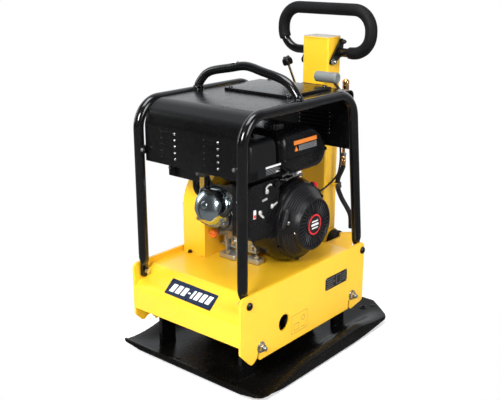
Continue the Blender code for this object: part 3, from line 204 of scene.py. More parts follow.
MATERIALS = {
    "yellow": surface("yellow_paint", (0.93, 0.530, 0.020), rough=0.36, drift=0.035,
                      drift_scale=4.0, rough_drift=0.08, bump=0.16, bump_scale=900.0,
                      bump_depth=0.0002, coat=0.2, wear=(0.55, 0.30, 0.03),
                      wear_amount=0.35, corner_shade=0.30),
    "black": surface("black_powder_coat", (0.0026, 0.0026, 0.0030), rough=0.15, drift=0.25,
                     rough_drift=0.04, bump=0.14, bump_scale=800.0, bump_depth=0.0002,
                     coat=0.15, wear=(0.05, 0.05, 0.05), wear_amount=0.25, corner_shade=0.0,
                     spec=0.42),
    "hood": surface("hood_black", (0.0018, 0.0018, 0.0021), rough=0.25, drift=0.25,
                    rough_drift=0.05, bump=0.07, bump_scale=500.0, bump_depth=0.0003,
                    wear=(0.05, 0.05, 0.05), wear_amount=0.25, corner_shade=0.0, spec=0.32),
    "cast": surface("cast_black", (0.0024, 0.0022, 0.0019), rough=0.27, drift=0.30,
                    drift_scale=10.0, rough_drift=0.05, bump=0.06, bump_scale=160.0,
                    bump_depth=0.0004, wear=(0.06, 0.057, 0.053), wear_amount=0.3,
                    wear_radius=0.002, corner_shade=0.2, spec=0.12),
    "rubber": surface("rubber", (0.009, 0.009, 0.009), rough=0.70, drift=0.25, bump=0.25,
                      bump_scale=500.0, corner_shade=0.0, spec=0.25),
    "foam": surface("foam_grip", (0.0034, 0.0034, 0.0040), rough=0.58, drift=0.22,
                    rough_drift=0.08, bump=0.5, bump_scale=1500.0, bump_depth=0.0004,
                    corner_shade=0.0, spec=0.15),
    "zinc": surface("zinc_plate", (0.62, 0.62, 0.60), rough=0.28, metal=1.0, drift=0.14,
                    drift_scale=60.0, bump=0.15, bump_scale=700.0, fleck=(0.75, 0.72, 0.60),
                    corner_shade=0.45),
    "steel": surface("machined_steel", (0.50, 0.50, 0.50), rough=0.32, metal=1.0, drift=0.12,
                     drift_scale=40.0, bump=0.12, bump_scale=900.0, corner_shade=0.4),
    "aluminium": surface("cast_aluminium", (0.56, 0.56, 0.54), rough=0.42, metal=0.9,
                         drift=0.14, drift_scale=30.0, bump=0.45, bump_scale=700.0,
                         bump_depth=0.0004, fleck=(0.7, 0.7, 0.69), corner_shade=0.7),
    "darkalu": surface("sooty_aluminium", (0.13, 0.125, 0.115), rough=0.45, metal=0.8,
                       drift=0.22, drift_scale=30.0, bump=0.45, bump_scale=700.0,
                       bump_depth=0.0004, fleck=(0.3, 0.28, 0.25), corner_shade=0.7),
    "bright": surface("bright_zinc", (0.80, 0.80, 0.78), rough=0.36, metal=0.45,
                      drift_scale=60.0, rough_drift=0.10, bump=0.12, bump_scale=700.0,
                      corner_shade=0.3),
    "softblack": surface("soft_black_moulding", (0.016, 0.016, 0.018), rough=0.44,
                         drift=0.18, rough_drift=0.08, bump=0.3, bump_scale=1300.0,
                         bump_depth=0.0003, wear=(0.06, 0.06, 0.06), wear_amount=0.35,
                         corner_shade=0.0, spec=0.42),
    "chrome": surface("chromed_steel", (0.58, 0.67, 0.71), rough=0.20, metal=1.0,
                      drift=0.06, drift_scale=30.0, rough_drift=0.05, bump=0.05,
                      bump_scale=300.0, corner_shade=0.5),
    "plastic": surface("black_moulding", (0.0070, 0.0070, 0.0080), rough=0.38, drift=0.18,
                       rough_drift=0.08, bump=0.32, bump_scale=1300.0, bump_depth=0.0003,
                       wear=(0.04, 0.04, 0.04), wear_amount=0.3, corner_shade=0.0, spec=0.30),
    "enamel": surface("black_enamel", (0.0048, 0.0048, 0.0056), rough=0.26, drift=0.2,
                      rough_drift=0.06, bump_scale=500.0, wear=(0.04, 0.04, 0.04),
                      wear_amount=0.3, corner_shade=0.0, spec=0.30),
    # painted shade: a near-black film that stands in for the shaded inside of the lever slots
    "dark": surface("painted_slot_shade", (0.006, 0.006, 0.006), rough=0.8, corner_shade=0.0, spec=0.2),
    "iron": surface("heat_stained_iron", (0.055, 0.050, 0.047), rough=0.6, metal=0.4,
                    drift=0.35, drift_scale=18.0, bump=0.5, bump_scale=300.0,
                    fleck=(0.12, 0.07, 0.045), corner_shade=0.3),
    "brass": surface("brass", (0.72, 0.43, 0.17), rough=0.25, metal=1.0, drift=0.18,
                     drift_scale=45.0, bump_scale=700.0, corner_shade=0.5),
    "grey": surface("grey_grip", (0.17, 0.186, 0.180), rough=0.48, drift=0.08, bump=0.3,
                    bump_scale=900.0, corner_shade=0.3),
    "red": surface("red_moulding", (0.72, 0.012, 0.022), rough=0.38, bump=0.2,
                   bump_scale=1000.0, corner_shade=0.3),
    "orange": surface("orange_moulding", (0.80, 0.17, 0.02), bump=0.2, bump_scale=1000.0,
                      corner_shade=0.3),
    "redbrown": surface("red_primer", (0.10, 0.022, 0.016), rough=0.45, metal=0.1,
                        drift=0.2, bump=0.3, bump_scale=700.0, corner_shade=0.2),
    "navy": surface("navy_film", (0.006, 0.015, 0.042), rough=0.34, drift=0.04, bump=0.02,
                    bump_scale=300.0, corner_shade=0.0, spec=0.3),
    "white": surface("white_film", (0.80, 0.80, 0.78), rough=0.38, drift=0.04, bump=0.06,
                     bump_scale=300.0, corner_shade=0.0),
    "silver": surface("silver_print", (0.42, 0.43, 0.44), rough=0.35, metal=0.6,
                      drift=0.08, bump=0.05, bump_scale=300.0, corner_shade=0.0),
    "labelblack": surface("label_black", (0.006, 0.006, 0.0065), bump=0.05,
                          bump_scale=300.0, corner_shade=0.0),
    "labelorange": surface("label_orange", (0.86, 0.24, 0.03), rough=0.36, drift=0.08,
                           bump=0.05, bump_scale=300.0, corner_shade=0.0),
    "tan": surface("decal_tan", (0.40, 0.24, 0.03), bump=0.06, bump_scale=400.0, corner_shade=0.0),
    "capgrey": surface("column_cap", (0.36, 0.34, 0.30), rough=0.5, bump=0.2,
                       bump_scale=500.0, corner_shade=0.2),
}


# ----------------------------------------------------------------- outlines
def circle(a, b, radius, n=40):
    return [(a + radius * math.cos(2 * math.pi * k / n),
             b + radius * math.sin(2 * math.pi * k / n)) for k in range(n)]


def polar(radius, degrees, centre=CRANK):
    angle = math.radians(degrees)
    return centre[0] + radius * math.cos(angle), centre[1] + radius * math.sin(angle)


def rounded(points, radius=None, n=6):
    """Fillet a closed outline; with no radius given, each point is (a, b, radius)."""
    out = []
    for i, point in enumerate(points):
        corner = Vector(point).to_2d()
        r = point[2] if radius is None else radius
        if r <= 0:
            out.append(tuple(corner))
            continue
        back = (Vector(points[i - 1]).to_2d() - corner).normalized()
        ahead = (Vector(points[(i + 1) % len(points)]).to_2d() - corner).normalized()
        half = back.angle(ahead) / 2
        reach = r / math.tan(half)
        centre = corner + (back + ahead).normalized() * (r / math.sin(half))
        start, end = corner + back * reach, corner + ahead * reach
        first = math.atan2(start.y - centre.y, start.x - centre.x)
        last = math.atan2(end.y - centre.y, end.x - centre.x)
        turn = (last - first + math.pi) % (2 * math.pi) - math.pi
        for k in range(n + 1):
            angle = first + turn * k / n
            out.append((centre.x + r * math.cos(angle), centre.y + r * math.sin(angle)))
    return out


def rect(a0, b0, a1, b1, radius=0.0, n=5):
    points = [(a0, b0), (a1, b0), (a1, b1), (a0, b1)]
    return rounded(points, radius, n) if radius else points


def soften(points, cuts, n):
    """Round corners with short curves, which also works where they are nearly straight."""
    out = []
    for i, (point, cut_back) in enumerate(zip(points, cuts)):
        corner = Vector(point).to_2d()
        if cut_back <= 0:
            out.append(tuple(corner))
            continue
        back = Vector(points[i - 1]).to_2d() - corner
        ahead = Vector(points[(i + 1) % len(points)]).to_2d() - corner
        start = corner + back.normalized() * min(cut_back, back.length * 0.47)
        end = corner + ahead.normalized() * min(cut_back, ahead.length * 0.47)
        for k in range(n + 1):
            t = k / n
            spot = start * (1 - t) ** 2 + corner * 2 * t * (1 - t) + end * t * t
            out.append((spot.x, spot.y))
    return out


def hull(circles, n=32):
    """Convex outline round circles given as (a, b, radius)."""
    points = sorted(set((round(a + r * math.cos(2 * math.pi * k / n), 4),
                         round(b + r * math.sin(2 * math.pi * k / n), 4))
                        for a, b, r in circles for k in range(n)))

    def half(sequence):
        out = []
        for p in sequence:
            while len(out) > 1 and ((out[-1][0] - out[-2][0]) * (p[1] - out[-2][1])
                                    - (out[-1][1] - out[-2][1]) * (p[0] - out[-2][0])) <= 1e-6:
                out.pop()
            out.append(p)
        return out[:-1]
    return half(points) + half(points[::-1])


def span(side, a, b):
    """The X range from a to b on one side of the machine, low end first."""
    return sorted((side * a, side * b))


def mirrored(profile, side):
    return [(side * t, radius) for t, radius in profile]


# -------------------------------------------------------------------- paths
def bend_path(points, radius, n=10):
    """A polyline with its inner corners bent to a radius."""
    points = [Vector(p) for p in points]
    radii = radius if isinstance(radius, list) else [radius] * (len(points) - 2)
    out = [points[0]]
    for before, corner, after, r in zip(points, points[1:], points[2:], radii):
        back = (before - corner).normalized()
        ahead = (after - corner).normalized()
        angle = back.angle(ahead)
        centre = corner + (back + ahead).normalized() * (r / math.sin(angle / 2))
        arm = (corner + back * (r / math.tan(angle / 2)) - centre).normalized()
        normal = back.cross(ahead).normalized()
        turn = math.pi - angle
        for k in range(n + 1):
            out.append(centre + (Matrix.Rotation(-turn * k / n, 3, normal) @ arm) * r)
    out.append(points[-1])
    return out


def spline(points, n=8):
    """A Catmull-Rom curve through the points, n steps to a span."""
    p = [Vector(q) for q in points]
    p = [p[0] * 2 - p[1]] + p + [p[-1] * 2 - p[-2]]
    out = []
    for i in range(1, len(p) - 2):
        for k in range(n):
            t = k / n
            out.append(0.5 * ((2 * p[i]) + (p[i + 1] - p[i - 1]) * t
                              + (2 * p[i - 1] - 5 * p[i] + 4 * p[i + 1] - p[i + 2]) * t * t
                              + (3 * p[i] - p[i - 1] - 3 * p[i + 1] + p[i + 2]) * t ** 3))
    out.append(p[-2])
    return out


def densify(path, step):
    """Split each span into int(length / step) equal parts, at least one."""
    out = [path[0]]
    for a, b in zip(path, path[1:]):
        n = max(1, int((b - a).length / step))
        out += [a.lerp(b, k / n) for k in range(1, n + 1)]
    return out


# ------------------------------------------------------------------- solids
# Each returns a bmesh in millimetres, and adds to the one given as `into`.
def place(axis, a, b, t):
    """The point at t along the axis, with a and b the other two coordinates in order."""
    return {'X': (t, a, b), 'Y': (a, t, b), 'Z': (a, b, t)}[axis]


def merge(mesh, other):
    data = bpy.data.meshes.new("tmp")
    other.to_mesh(data)
    other.free()
    mesh.from_mesh(data)
    bpy.data.meshes.remove(data)
    return mesh


def bridge(mesh, a, b):
    for k in range(len(a)):
        j = (k + 1) % len(a)
        mesh.faces.new([a[k], a[j], b[j], b[k]])


def loft(rows, into=None):
    """Join closed rows of points into a skin and cap both ends."""
    mesh = into or bmesh.new()
    rings = [[mesh.verts.new(p) for p in row] for row in rows]
    for a, b in zip(rings, rings[1:]):
        bridge(mesh, a, b)
    mesh.faces.new(rings[0])
    mesh.faces.new(list(reversed(rings[-1])))
    return mesh


def stack(slices, into=None):
    """Loft level outlines, each (outline, z)."""
    return loft([[(x, y, z) for x, y in outline] for outline, z in slices], into)


def inset_stack(low, high, stations, corner, least, taper):
    """Stack a box's plan at (z, inset) stations; its corners tighten as the inset grows."""
    return stack([(rect(low.x + inset, low.y + inset, high.x - inset, high.y - inset,
                        max(least, corner - inset * taper), 8), z) for z, inset in stations])


def slab(low, high, into):
    """A thin solid between two matching rows of points."""
    low, high = ([into.verts.new(p) for p in row] for row in (low, high))
    into.faces.new(high)
    into.faces.new(list(reversed(low)))
    bridge(into, low, high)


def prism(outline, axis, start, end, holes=(), into=None):
    mesh = into or bmesh.new()
    loops = [list(outline)] + [list(hole) for hole in holes]
    flat = [q for loop in loops for q in loop]
    triangles = tessellate_polygon([[Vector((q[0], q[1], 0)) for q in lp] for lp in loops])
    first = [mesh.verts.new(place(axis, q[0], q[1], start)) for q in flat]
    last = [mesh.verts.new(place(axis, q[0], q[1], end)) for q in flat]
    for i, j, k in triangles:
        try:
            mesh.faces.new([first[i], first[j], first[k]])
            mesh.faces.new([last[i], last[k], last[j]])
        except ValueError:            # the tessellation repeated a triangle or a corner
            pass
    base = 0
    for loop in loops:
        end_of_loop = base + len(loop)
        bridge(mesh, first[base:end_of_loop], last[base:end_of_loop])
        base = end_of_loop
    return mesh


def box(low, high, bevel=0.0, segs=2, into=None):
    mesh = bmesh.new()
    bmesh.ops.create_cube(mesh, size=1.0)
    bmesh.ops.scale(mesh, verts=mesh.verts, vec=[high[i] - low[i] for i in range(3)])
    bmesh.ops.translate(mesh, verts=mesh.verts,
                        vec=[(low[i] + high[i]) / 2 for i in range(3)])
    if bevel:
        bmesh.ops.bevel(mesh, geom=list(mesh.edges), offset=bevel, segments=segs,
                        profile=0.5, affect='EDGES', clamp_overlap=True)
    return mesh if into is None else merge(into, mesh)


def boxes(corners, bevel, segs, into=None):
    for low, high in corners:
        into = box(low, high, bevel, segs, into)
    return into


def lathe(profile, axis, centre, segs=48, ring=False, into=None):
    """Turn a profile of (place along the axis, radius); a ring joins its end to its start."""
    mesh = into or bmesh.new()
    rows = []
    for t, radius in profile:
        spots = circle(*centre, radius, segs) if radius > 1e-9 else [centre]
        rows.append([mesh.verts.new(place(axis, a, b, t)) for a, b in spots])
    for a, b in zip(rows, rows[1:] + (rows[:1] if ring else [])):
        if len(a) == 1:
            for k in range(segs):
                mesh.faces.new([a[0], b[(k + 1) % segs], b[k]])
        elif len(b) == 1:
            for k in range(segs):
                mesh.faces.new([a[k], a[(k + 1) % segs], b[0]])
        else:
            bridge(mesh, a, b)
    return mesh


def turned(profile, axis, centre, segs=48, into=None):
    """A lathed solid whose profile is closed by flat ends."""
    closed = [(profile[0][0], 0)] + profile + [(profile[-1][0], 0)]
    return lathe(closed, axis, centre, segs, into=into)


def cylinder(axis, centre, start, end, radius, segs=36, bevel=0.0, into=None):
    profile = [(start, radius), (end, radius)]
    if bevel:
        profile = [(start, radius - bevel), (start + bevel * 0.3, radius - bevel * 0.3),
                   (start + bevel, radius), (end - bevel, radius),
                   (end - bevel * 0.3, radius - bevel * 0.3), (end, radius - bevel)]
    return turned(profile, axis, centre, segs, into)


def sweep(path, radius, segs=20, up=(1, 0, 0), into=None, scale=None, shift=None,
          bore=0.0, closed=False, wobble=0.0, seed=0.0):
    """A tube along a path of vectors.

    radius is a number or one for each point; scale flattens and shift moves the
    section along the direction that starts as up; bore makes the tube hollow.
    """
    mesh = into or bmesh.new()
    count = len(path)
    outer, inner = [], []
    across = Vector(up).normalized()
    for i, point in enumerate(path):
        if closed or 0 < i < count - 1:
            along = ((path[(i + 1) % count] - point).normalized()
                     + (point - path[i - 1]).normalized()).normalized()
        elif i == 0:
            along = (path[1] - point).normalized()
        else:
            along = (point - path[i - 1]).normalized()
        across = (across - along * across.dot(along)).normalized()
        over = along.cross(across)
        size = radius[i] if isinstance(radius, list) else radius
        flat = scale[i] if scale else 1.0
        offset = across * (shift[i] if shift else 0.0)
        for rings, reach in ((outer, size), (inner, bore)):
            if not reach:
                continue
            ring = []
            for k in range(segs):
                a = 2 * math.pi * k / segs
                w = 1.0
                if wobble:
                    w += wobble * noise.noise(Vector((i * 0.55 + seed, math.cos(a) * 0.9,
                                                      math.sin(a) * 0.9 + seed)))
                ring.append(mesh.verts.new(point + offset
                                           + across * reach * flat * w * math.cos(a)
                                           + over * reach * w * math.sin(a)))
            rings.append(ring)
    for rings in (outer, inner):
        for a, b in zip(rings, rings[1:] + (rings[:1] if closed else [])):
            bridge(mesh, a, b)
    if bore:
        for end in (0, -1):
            bridge(mesh, outer[end], inner[end])
    elif not closed:
        mesh.faces.new(outer[0])
        mesh.faces.new(list(reversed(outer[-1])))
    return mesh


def weld_bead(a, b, radius=3.0, seed=0.0, into=None):
    """A rippled weld bead from a to b."""
    a, b = Vector(a), Vector(b)
    n = max(4, int((b - a).length / (radius * 0.55)))
    path, radii = [], []
    for k in range(n + 1):
        path.append(a.lerp(b, k / n))
        end = min(1.0, 0.55 + 0.9 * min(k, n - k) / 3.0)
        radii.append(radius * end * (1.0 + 0.16 * math.sin(k * 2.1 + seed)))
    return sweep(path, radii, 10, up=(0.3, 0.5, 0.81), into=into, wobble=0.18, seed=seed)


def weld_ring(path, radius, ripple, rate, up):
    """A rippled weld bead round a closed path."""
    radii = [radius * (1 + ripple * math.sin(k * rate)) for k in range(len(path))]
    return sweep(path, radii, 10, up=up, closed=True)


def hexagon(a, b, radius, phase):
    return [(a + radius * math.cos(phase + math.pi / 3 * k),
             b + radius * math.sin(phase + math.pi / 3 * k)) for k in range(6)]


def hex_head(axis, centre, seat, crown, radius, phase=0.3, into=None):
    """A hexagon head from its seat to its crown, with chamfered corners."""
    rows = []
    for height, shrink in ((0, 1.0), (0.80, 1.0), (0.93, 0.93), (1, 0.84)):
        row = []
        for k in range(24):
            a = 2 * math.pi * k / 24
            reach = math.cos(math.pi / 6) / math.cos((a % (math.pi / 3)) - math.pi / 6)
            if shrink < 1.0:
                reach = min(reach, shrink * 0.985)
            row.append(place(axis, centre[0] + radius * reach * math.cos(a + phase),
                             centre[1] + radius * reach * math.sin(a + phase),
                             seat + (crown - seat) * height))
        rows.append(row)
    return loft(rows, into)


def lean(mesh, angle=TILT):
    """Tip a mesh up about the crank line, as the cylinder leans."""
    bmesh.ops.rotate(mesh, verts=mesh.verts, cent=(0, *CRANK),
                     matrix=Matrix.Rotation(-angle, 3, 'X'))
    return mesh


def lean_point(point):
    centre = Vector((0, *CRANK))
    return Matrix.Rotation(-TILT, 3, 'X') @ (Vector(point) - centre) + centre


def cut(mesh, tool):
    """Take the tool away from the mesh with the exact solver."""
    objects = []
    for i, part in enumerate((mesh, tool)):
        bmesh.ops.remove_doubles(part, verts=part.verts, dist=0.0005)
        bmesh.ops.recalc_face_normals(part, faces=part.faces)
        data = bpy.data.meshes.new("tmp_bool_%d" % i)
        part.to_mesh(data)
        part.free()
        objects.append(bpy.data.objects.new("tmp_bool_%d" % i, data))
        bpy.context.scene.collection.objects.link(objects[-1])
    modifier = objects[0].modifiers.new("b", 'BOOLEAN')
    modifier.operation = 'DIFFERENCE'
    modifier.object = objects[1]
    modifier.solver = 'EXACT'
    graph = bpy.context.evaluated_depsgraph_get()
    result = bpy.data.meshes.new_from_object(objects[0].evaluated_get(graph))
    out = bmesh.new()
    out.from_mesh(result)
    for ob in objects:
        data = ob.data
        bpy.data.objects.remove(ob, do_unlink=True)
        bpy.data.meshes.remove(data)
    bpy.data.meshes.remove(result)
    return out


def piece(name, mesh, finish, body="machine", replaces=None, bevel=0.0, segs=2, smooth=32,
          bevel_angle=28, weld=0.002):
    """Finish a mesh as an object that rides on a body and may replace a CAD node."""
    if weld:
        bmesh.ops.remove_doubles(mesh, verts=mesh.verts, dist=weld)
    bmesh.ops.recalc_face_normals(mesh, faces=mesh.faces)
    bmesh.ops.scale(mesh, verts=mesh.verts, vec=(MM, MM, MM))
    data = bpy.data.meshes.new(name)
    mesh.to_mesh(data)
    mesh.free()
    ob = bpy.data.objects.new(name, data)
    bpy.context.scene.collection.objects.link(ob)
    data.materials.append(MATERIALS[finish])
    data.shade_smooth()
    data.set_sharp_from_angle(angle=math.radians(smooth))
    if bevel:
        modifier = ob.modifiers.new("bevel", 'BEVEL')
        modifier.width = bevel * MM
        modifier.segments = segs
        modifier.limit_method = 'ANGLE'
        modifier.angle_limit = math.radians(bevel_angle)
        modifier.harden_normals = True
        modifier.use_clamp_overlap = True
    if body:
        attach(ob, body)
    if replaces:
        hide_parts(replaces)
    return ob


def bolt(name, axis, centre, seat, way, radius, head, finish="zinc", body="machine",
         washer=None, stud=0.0, replaces=None):
    """A hexagon head or nut, with an optional washer and stud, that stands out along way."""
    mesh = bmesh.new()
    t = seat
    if washer:
        thick = washer * 0.14
        turned([(t, washer - 0.6), (t + way * 0.5, washer), (t + way * (thick - 0.5), washer),
                (t + way * thick, washer - 0.6)], axis, centre, 36, into=mesh)
        t += way * (thick + 0.02)
    hex_head(axis, centre, t, t + way * head, radius, into=mesh)
    if stud:
        start = t + way * (head + 0.02)
        crest = radius * 0.56
        profile = [(start, crest)]
        turns = max(2, int(stud / 1.6))
        for k in range(turns):
            profile += [(start + way * stud * k / turns, crest * 0.9),
                        (start + way * stud * (k + 0.5) / turns, crest)]
        profile.append((start + way * stud, crest * 0.8))
        turned(profile, axis, centre, 24, into=mesh)
    return piece(name, mesh, finish, body, replaces, smooth=30)


# --------------------------------------------------------------- base plate
BASE_HALF_W = 278.0
BASE_END = 369.0                      # front and rear ends, as +-Y
BASE_ROLL = 4.0                       # radius rolled onto both ends
BASE_HOLE = (178, 312)                # (x, y) of the holes in the rear corners


def half_width(y):
    if y < -350:
        return BASE_HALF_W - 12.0 * ((-350.0 - y) / 19.0) ** 2
    if y > 300:
        return BASE_HALF_W - 4 - 92.0 * ((y - 300.0) / 69.0) ** 1.25
    if y > 292:
        return BASE_HALF_W - 4 * (y - 292.0) / 8.0
    return BASE_HALF_W


def floor_z(y):
    """Height of the plate's underside, which turns up at both ends."""
    if y < -250:
        return 9.5 * ((-250.0 - y) / 119.0) ** 1.6
    if y > 100:
        return 26.0 * ((y - 100.0) / 269.0) ** 1.7
    return 0.0


def rim_z(y):
    if y < -200:
        return 44.0 - 22.0 * min(1.0, (-200.0 - y) / 169.0) ** 1.5
    return 44.0 + 10.0 * min(1.0, (y + 200.0) / 400.0)


def lip(y):
    """Extra height of the rounded bead along the front edge."""
    t = (-350.0 - y) / 19.0
    if t <= 0:
        return 0.0
    return 6.8 * math.sin(math.pi * min(1.0, 0.62 * t + 0.08)) * min(1.0, t * 3.0)


def base_section(y, inset):
    """Cross-section of the plate at y, shrunk by an inset at its rolled ends."""
    w = half_width(y) - 0.15
    under = floor_z(y) + 0.02
    top = under + 11.9 + lip(y)
    fade = 1.0                        # how far the side rims stand up
    if y < -130:
        fade = max(0.0, (y + 330.0) / 200.0)
    if y > 150:
        fade = max(0.0, (330.0 - y) / 180.0)
    rim = top + (rim_z(y) - top) * fade if rim_z(y) > top else top
    inner = min(205.0 if w > 230 else w - 40.0, w - 36.0)
    shelf = min(240.0, w - 18.0)
    crest = min(262.0, w - 9.0)
    lift = min(1.0, max(0.0, (-262.0 - y) / 107.0))
    toe = w - 14.0 - 50.0 * lift
    low = under + (6.0 if fade > 0.05 else 2.5) + 9.0 * lift
    low = min(low, rim - 5.0 * fade - 3.0)
    points = [(-w, rim - 5.0 * fade), (-crest, rim), (-shelf, rim - 3.0 * fade), (-inner, top)]
    for k in range(1, 12):
        x = -inner + 2 * inner * k / 12
        points.append((x, top + 0.35 * noise.noise(Vector((x * 0.016, y * 0.016, 0.0))) - 0.2))
    points += [(inner, top), (shelf, rim - 3.0 * fade), (crest, rim), (w, rim - 5.0 * fade),
               (w, low), (toe, under), (0.0, under), (-toe, under), (-w, low)]
    cuts = [4, 7, 9, 22] + [0] * 11 + [22, 9, 7, 4, 3, 6, 0, 6, 3]
    points = soften(points, cuts, 4)
    if inset:
        middle = (under + top) / 2
        points = [(x * (w - inset) / w, middle + (z - middle) * max(0.05, 1 - inset / 6.0))
                  for x, z in points]
    return [Vector((x, y, z)) for x, z in points]


def base_end(end, k):
    """Section k of the five that roll over an end; end is -1 in front, 1 behind."""
    a = math.pi / 2 * k / 4
    return base_section(end * (BASE_END - BASE_ROLL * (1 - math.cos(a))),
                        BASE_ROLL * (1 - math.sin(a)))


rows = [base_end(-1, k) for k in range(5)]
y = -BASE_END
while y < BASE_END - BASE_ROLL:
    if y > -BASE_END + BASE_ROLL:
        rows.append(base_section(y, 0.0))
    y += 2.5 if y < -345 else (5.0 if (y < -300 or y > 280) else 14.0)
rows += [base_end(1, k) for k in range(4, -1, -1)]
holes = bmesh.new()
for side, _ in SIDES:
    cylinder('Z', (side * BASE_HOLE[0], BASE_HOLE[1]), -20, 80, 7.0, 32, into=holes)
piece("base_plate_casting", cut(loft(rows), holes), "cast", replaces="base_plate", smooth=50)

# raised rings round the corner holes, and welded uprights that carry the buffers
for side, side_name in SIDES:
    z = floor_z(BASE_HOLE[1]) + 11.7
    profile = [(z - 1.5, 7.1), (z + 0.9, 7.1), (z + 1.3, 7.6), (z + 1.3, 11.5),
               (z + 0.4, 13.0), (z - 1.5, 13.2)]
    piece("hole_ring_" + side_name,
          lathe(profile, 'Z', (side * BASE_HOLE[0], BASE_HOLE[1]), 40, ring=True), "cast")
    for end_name, (y, z) in BUFFERS:
        foot = floor_z(y) + 9
        outline = rounded([(y - 30, foot, 0), (y + 30, foot, 0), (y + 28, z + 26, 18),
                           (y - 28, z + 26, 18)], n=8)
        name = "_%s_%s" % (end_name, side_name)
        piece("upright" + name, prism(outline, 'X', *span(side, 156.0, 168.0),
                                      holes=[circle(y, z, 6.5, 24)]),
              "black", bevel=1.8, segs=3)
        front_z = floor_z(y - 30) + 12.2
        mesh = weld_bead((side * 169.2, y - 28, front_z),
                         (side * 169.2, y + 28, floor_z(y + 30) + 12.2), 3.2, y)
        for edge, seed in ((-31, y + 3), (31, y + 5)):
            weld_bead((side * 168, y + edge, front_z), (side * 157, y + edge, front_z), 3.0,
                      seed, into=mesh)
        piece("upright_weld" + name, mesh, "cast")

mesh = bmesh.new()
for x, y in ((-150, -325), (150, -325), (-60, -338), (60, -338), (-200, 338), (200, 338),
             (0, 345)):
    z = floor_z(y) + 11.6
    lathe([(z - 1, 0), (z - 1, 8), (z + 0.4, 7.6), (z + 1.3, 5.8), (z + 1.6, 3.0),
           (z + 1.2, 0)], 'Z', (x, y), 24, into=mesh)
piece("plug_welds", mesh, "cast")

# ---------------------------------------------- exciter on the base plate
mesh = box(EXCITER_LO, (EXCITER_HI.x, EXCITER_HI.y, 158), 7, 3)
boxes([((-104, y - 4, 150), (104, y + 4, 165.8)) for y in range(-84, 85, 42)], 2.5, 2, mesh)
piece("exciter_housing_body", mesh, "cast", replaces="exciter_housing", smooth=40, weld=0)
piece("exciter_cover_plate",
      prism(rect(-106, 20, 106, 160, 20, 8), 'X', 118.3, 127.6,
            holes=[circle(-45, 92, 16, 32), circle(45, 92, 16, 32)]),
      "cast", replaces="exciter_cover", bevel=1.5, segs=3)
mesh = bmesh.new()
for y, z in ((-94, 34), (94, 34), (-94, 146), (94, 146), (-94, 90), (94, 90), (0, 34),
             (0, 148)):
    hex_head('X', (y, z), 127.8, 133.5, 6.2, phase=y * 0.01, into=mesh)
piece("exciter_cover_bolts", mesh, "zinc", smooth=30)
mesh = bmesh.new()
for y in (-45, 45):
    lathe([(-118, 20), (-118, 30), (-122, 30), (-124, 27), (-124, 20)], 'X', (y, 92), 40,
          ring=True, into=mesh)
piece("exciter_seals", mesh, "steel")

# -------------------------------------------------------------- side plates
# Outlines of (y, z, corner radius); the two plates differ below the front edge.
PLATE_NOSE = {
    "left": [(FRAME_FRONT, 130, 6), (-343, 103, 5), (-334, 103, 5), (-322, 111, 4),
             (-289, 112, 3)],
    "right": [(FRAME_FRONT, 130, 6), (-326, 85, 5), (-316, 85, 5), (-300, 97, 4),
              (-297, 112, 3), (-289, 112, 3)],
}
PLATE_REST = [(-287, FRAME_BOTTOM, 0), (158, FRAME_BOTTOM, 0), (159, 116, 3), (167, 116, 3),
              (169, 86, 0), (178, 81, 4), (240, 92, 0), (FRAME_REAR, 96, 3),
              (FRAME_REAR, FRAME_TOP, 20), (FRAME_FRONT, FRAME_TOP, 18)]
PLATE_HOLES = ([circle(*centre, 7.0, 28) for _, centre in BUFFERS + FRAME_BOLTS]
               + [circle(-176, 162, 26, 56)])
for side, side_name in SIDES:
    outline = rounded(PLATE_NOSE[side_name] + PLATE_REST, n=7)
    piece("side_plate_" + side_name,
          prism(outline, 'X', *span(side, PLATE_IN, PLATE_OUT), PLATE_HOLES), "yellow",
          replaces="frame", bevel=1.3, segs=3)

# ------------------------------------------------------------ deck and lugs
# Folded sheet seen from the side: (y, z, corner radius).
DECK_OUTLINE = [(-369, 152, 0), (-369, 222, 14), (-298, DECK_Z, 16), (DECK_REAR, DECK_Z, 5),
                (DECK_REAR, 172, 0), (DECK_REAR - 6, 172, 0), (DECK_REAR - 6, DECK_Z - 6, 2),
                (-296, DECK_Z - 6, 12), (-363, 219, 10), (-363, 152, 0)]
mesh = prism(rounded(DECK_OUTLINE, n=9), 'X', -PLATE_IN + 0.03, PLATE_IN - 0.03)
tool = bmesh.new()
for side, _ in SIDES:
    low, high = span(side, PLATE_IN + 4, PLATE_IN - 15.5)
    box((low, -352, 244), (high, -315.5, 290), into=tool)
prism(rect(-192, -114, -122, 76, 8, 6), 'Z', 260, 290, into=tool)
piece("deck_sheet", cut(mesh, tool), "yellow", bevel=0.9, segs=2, smooth=40, bevel_angle=40)

LUG_OUTLINE = [(DECK_REAR + 0.1, 200, 0), (290, 214, 14), (322, 236, 14), (322, 276, 14),
               (300, 292, 12), (262, 290, 10), (236, 262, 14), (DECK_REAR + 0.1, 262, 0)]
WELD_Y = DECK_REAR + 1.5
for low, high, side_name in ((52, 60, "right"), (-60, -52, "left")):
    piece("pivot_lug_" + side_name,
          prism(rounded(LUG_OUTLINE, n=7), 'X', low, high,
                holes=[circle(*COLUMN_PIVOT, 12.6, 40)]), "yellow", bevel=1.2, segs=3)
    mesh = bmesh.new()
    for x, seed in ((low - 1, low), (high + 1, high)):
        weld_bead((x, WELD_Y, 204), (x, WELD_Y, 260), 2.8, seed, into=mesh)
    piece("lug_weld_" + side_name, mesh, "yellow")

CHEEK_OUTLINE = [(DECK_REAR + 0.1, 205, 0), (334, 205, 12), (356, 226, 12), (358, 269, 8),
                 (282, 288, 5), (279, 272, 6), (DECK_REAR + 0.1, 274, 0)]
for side, side_name in SIDES:
    piece("pivot_cheek_" + side_name,
          prism(rounded(CHEEK_OUTLINE, n=7), 'X', *span(side, 91.6, 97.6)), "yellow",
          bevel=1.2, segs=3)
    piece("cheek_weld_" + side_name,
          weld_bead((side * 98.6, WELD_Y, 208), (side * 98.6, WELD_Y, 270), 2.8, side * 3.0),
          "yellow")

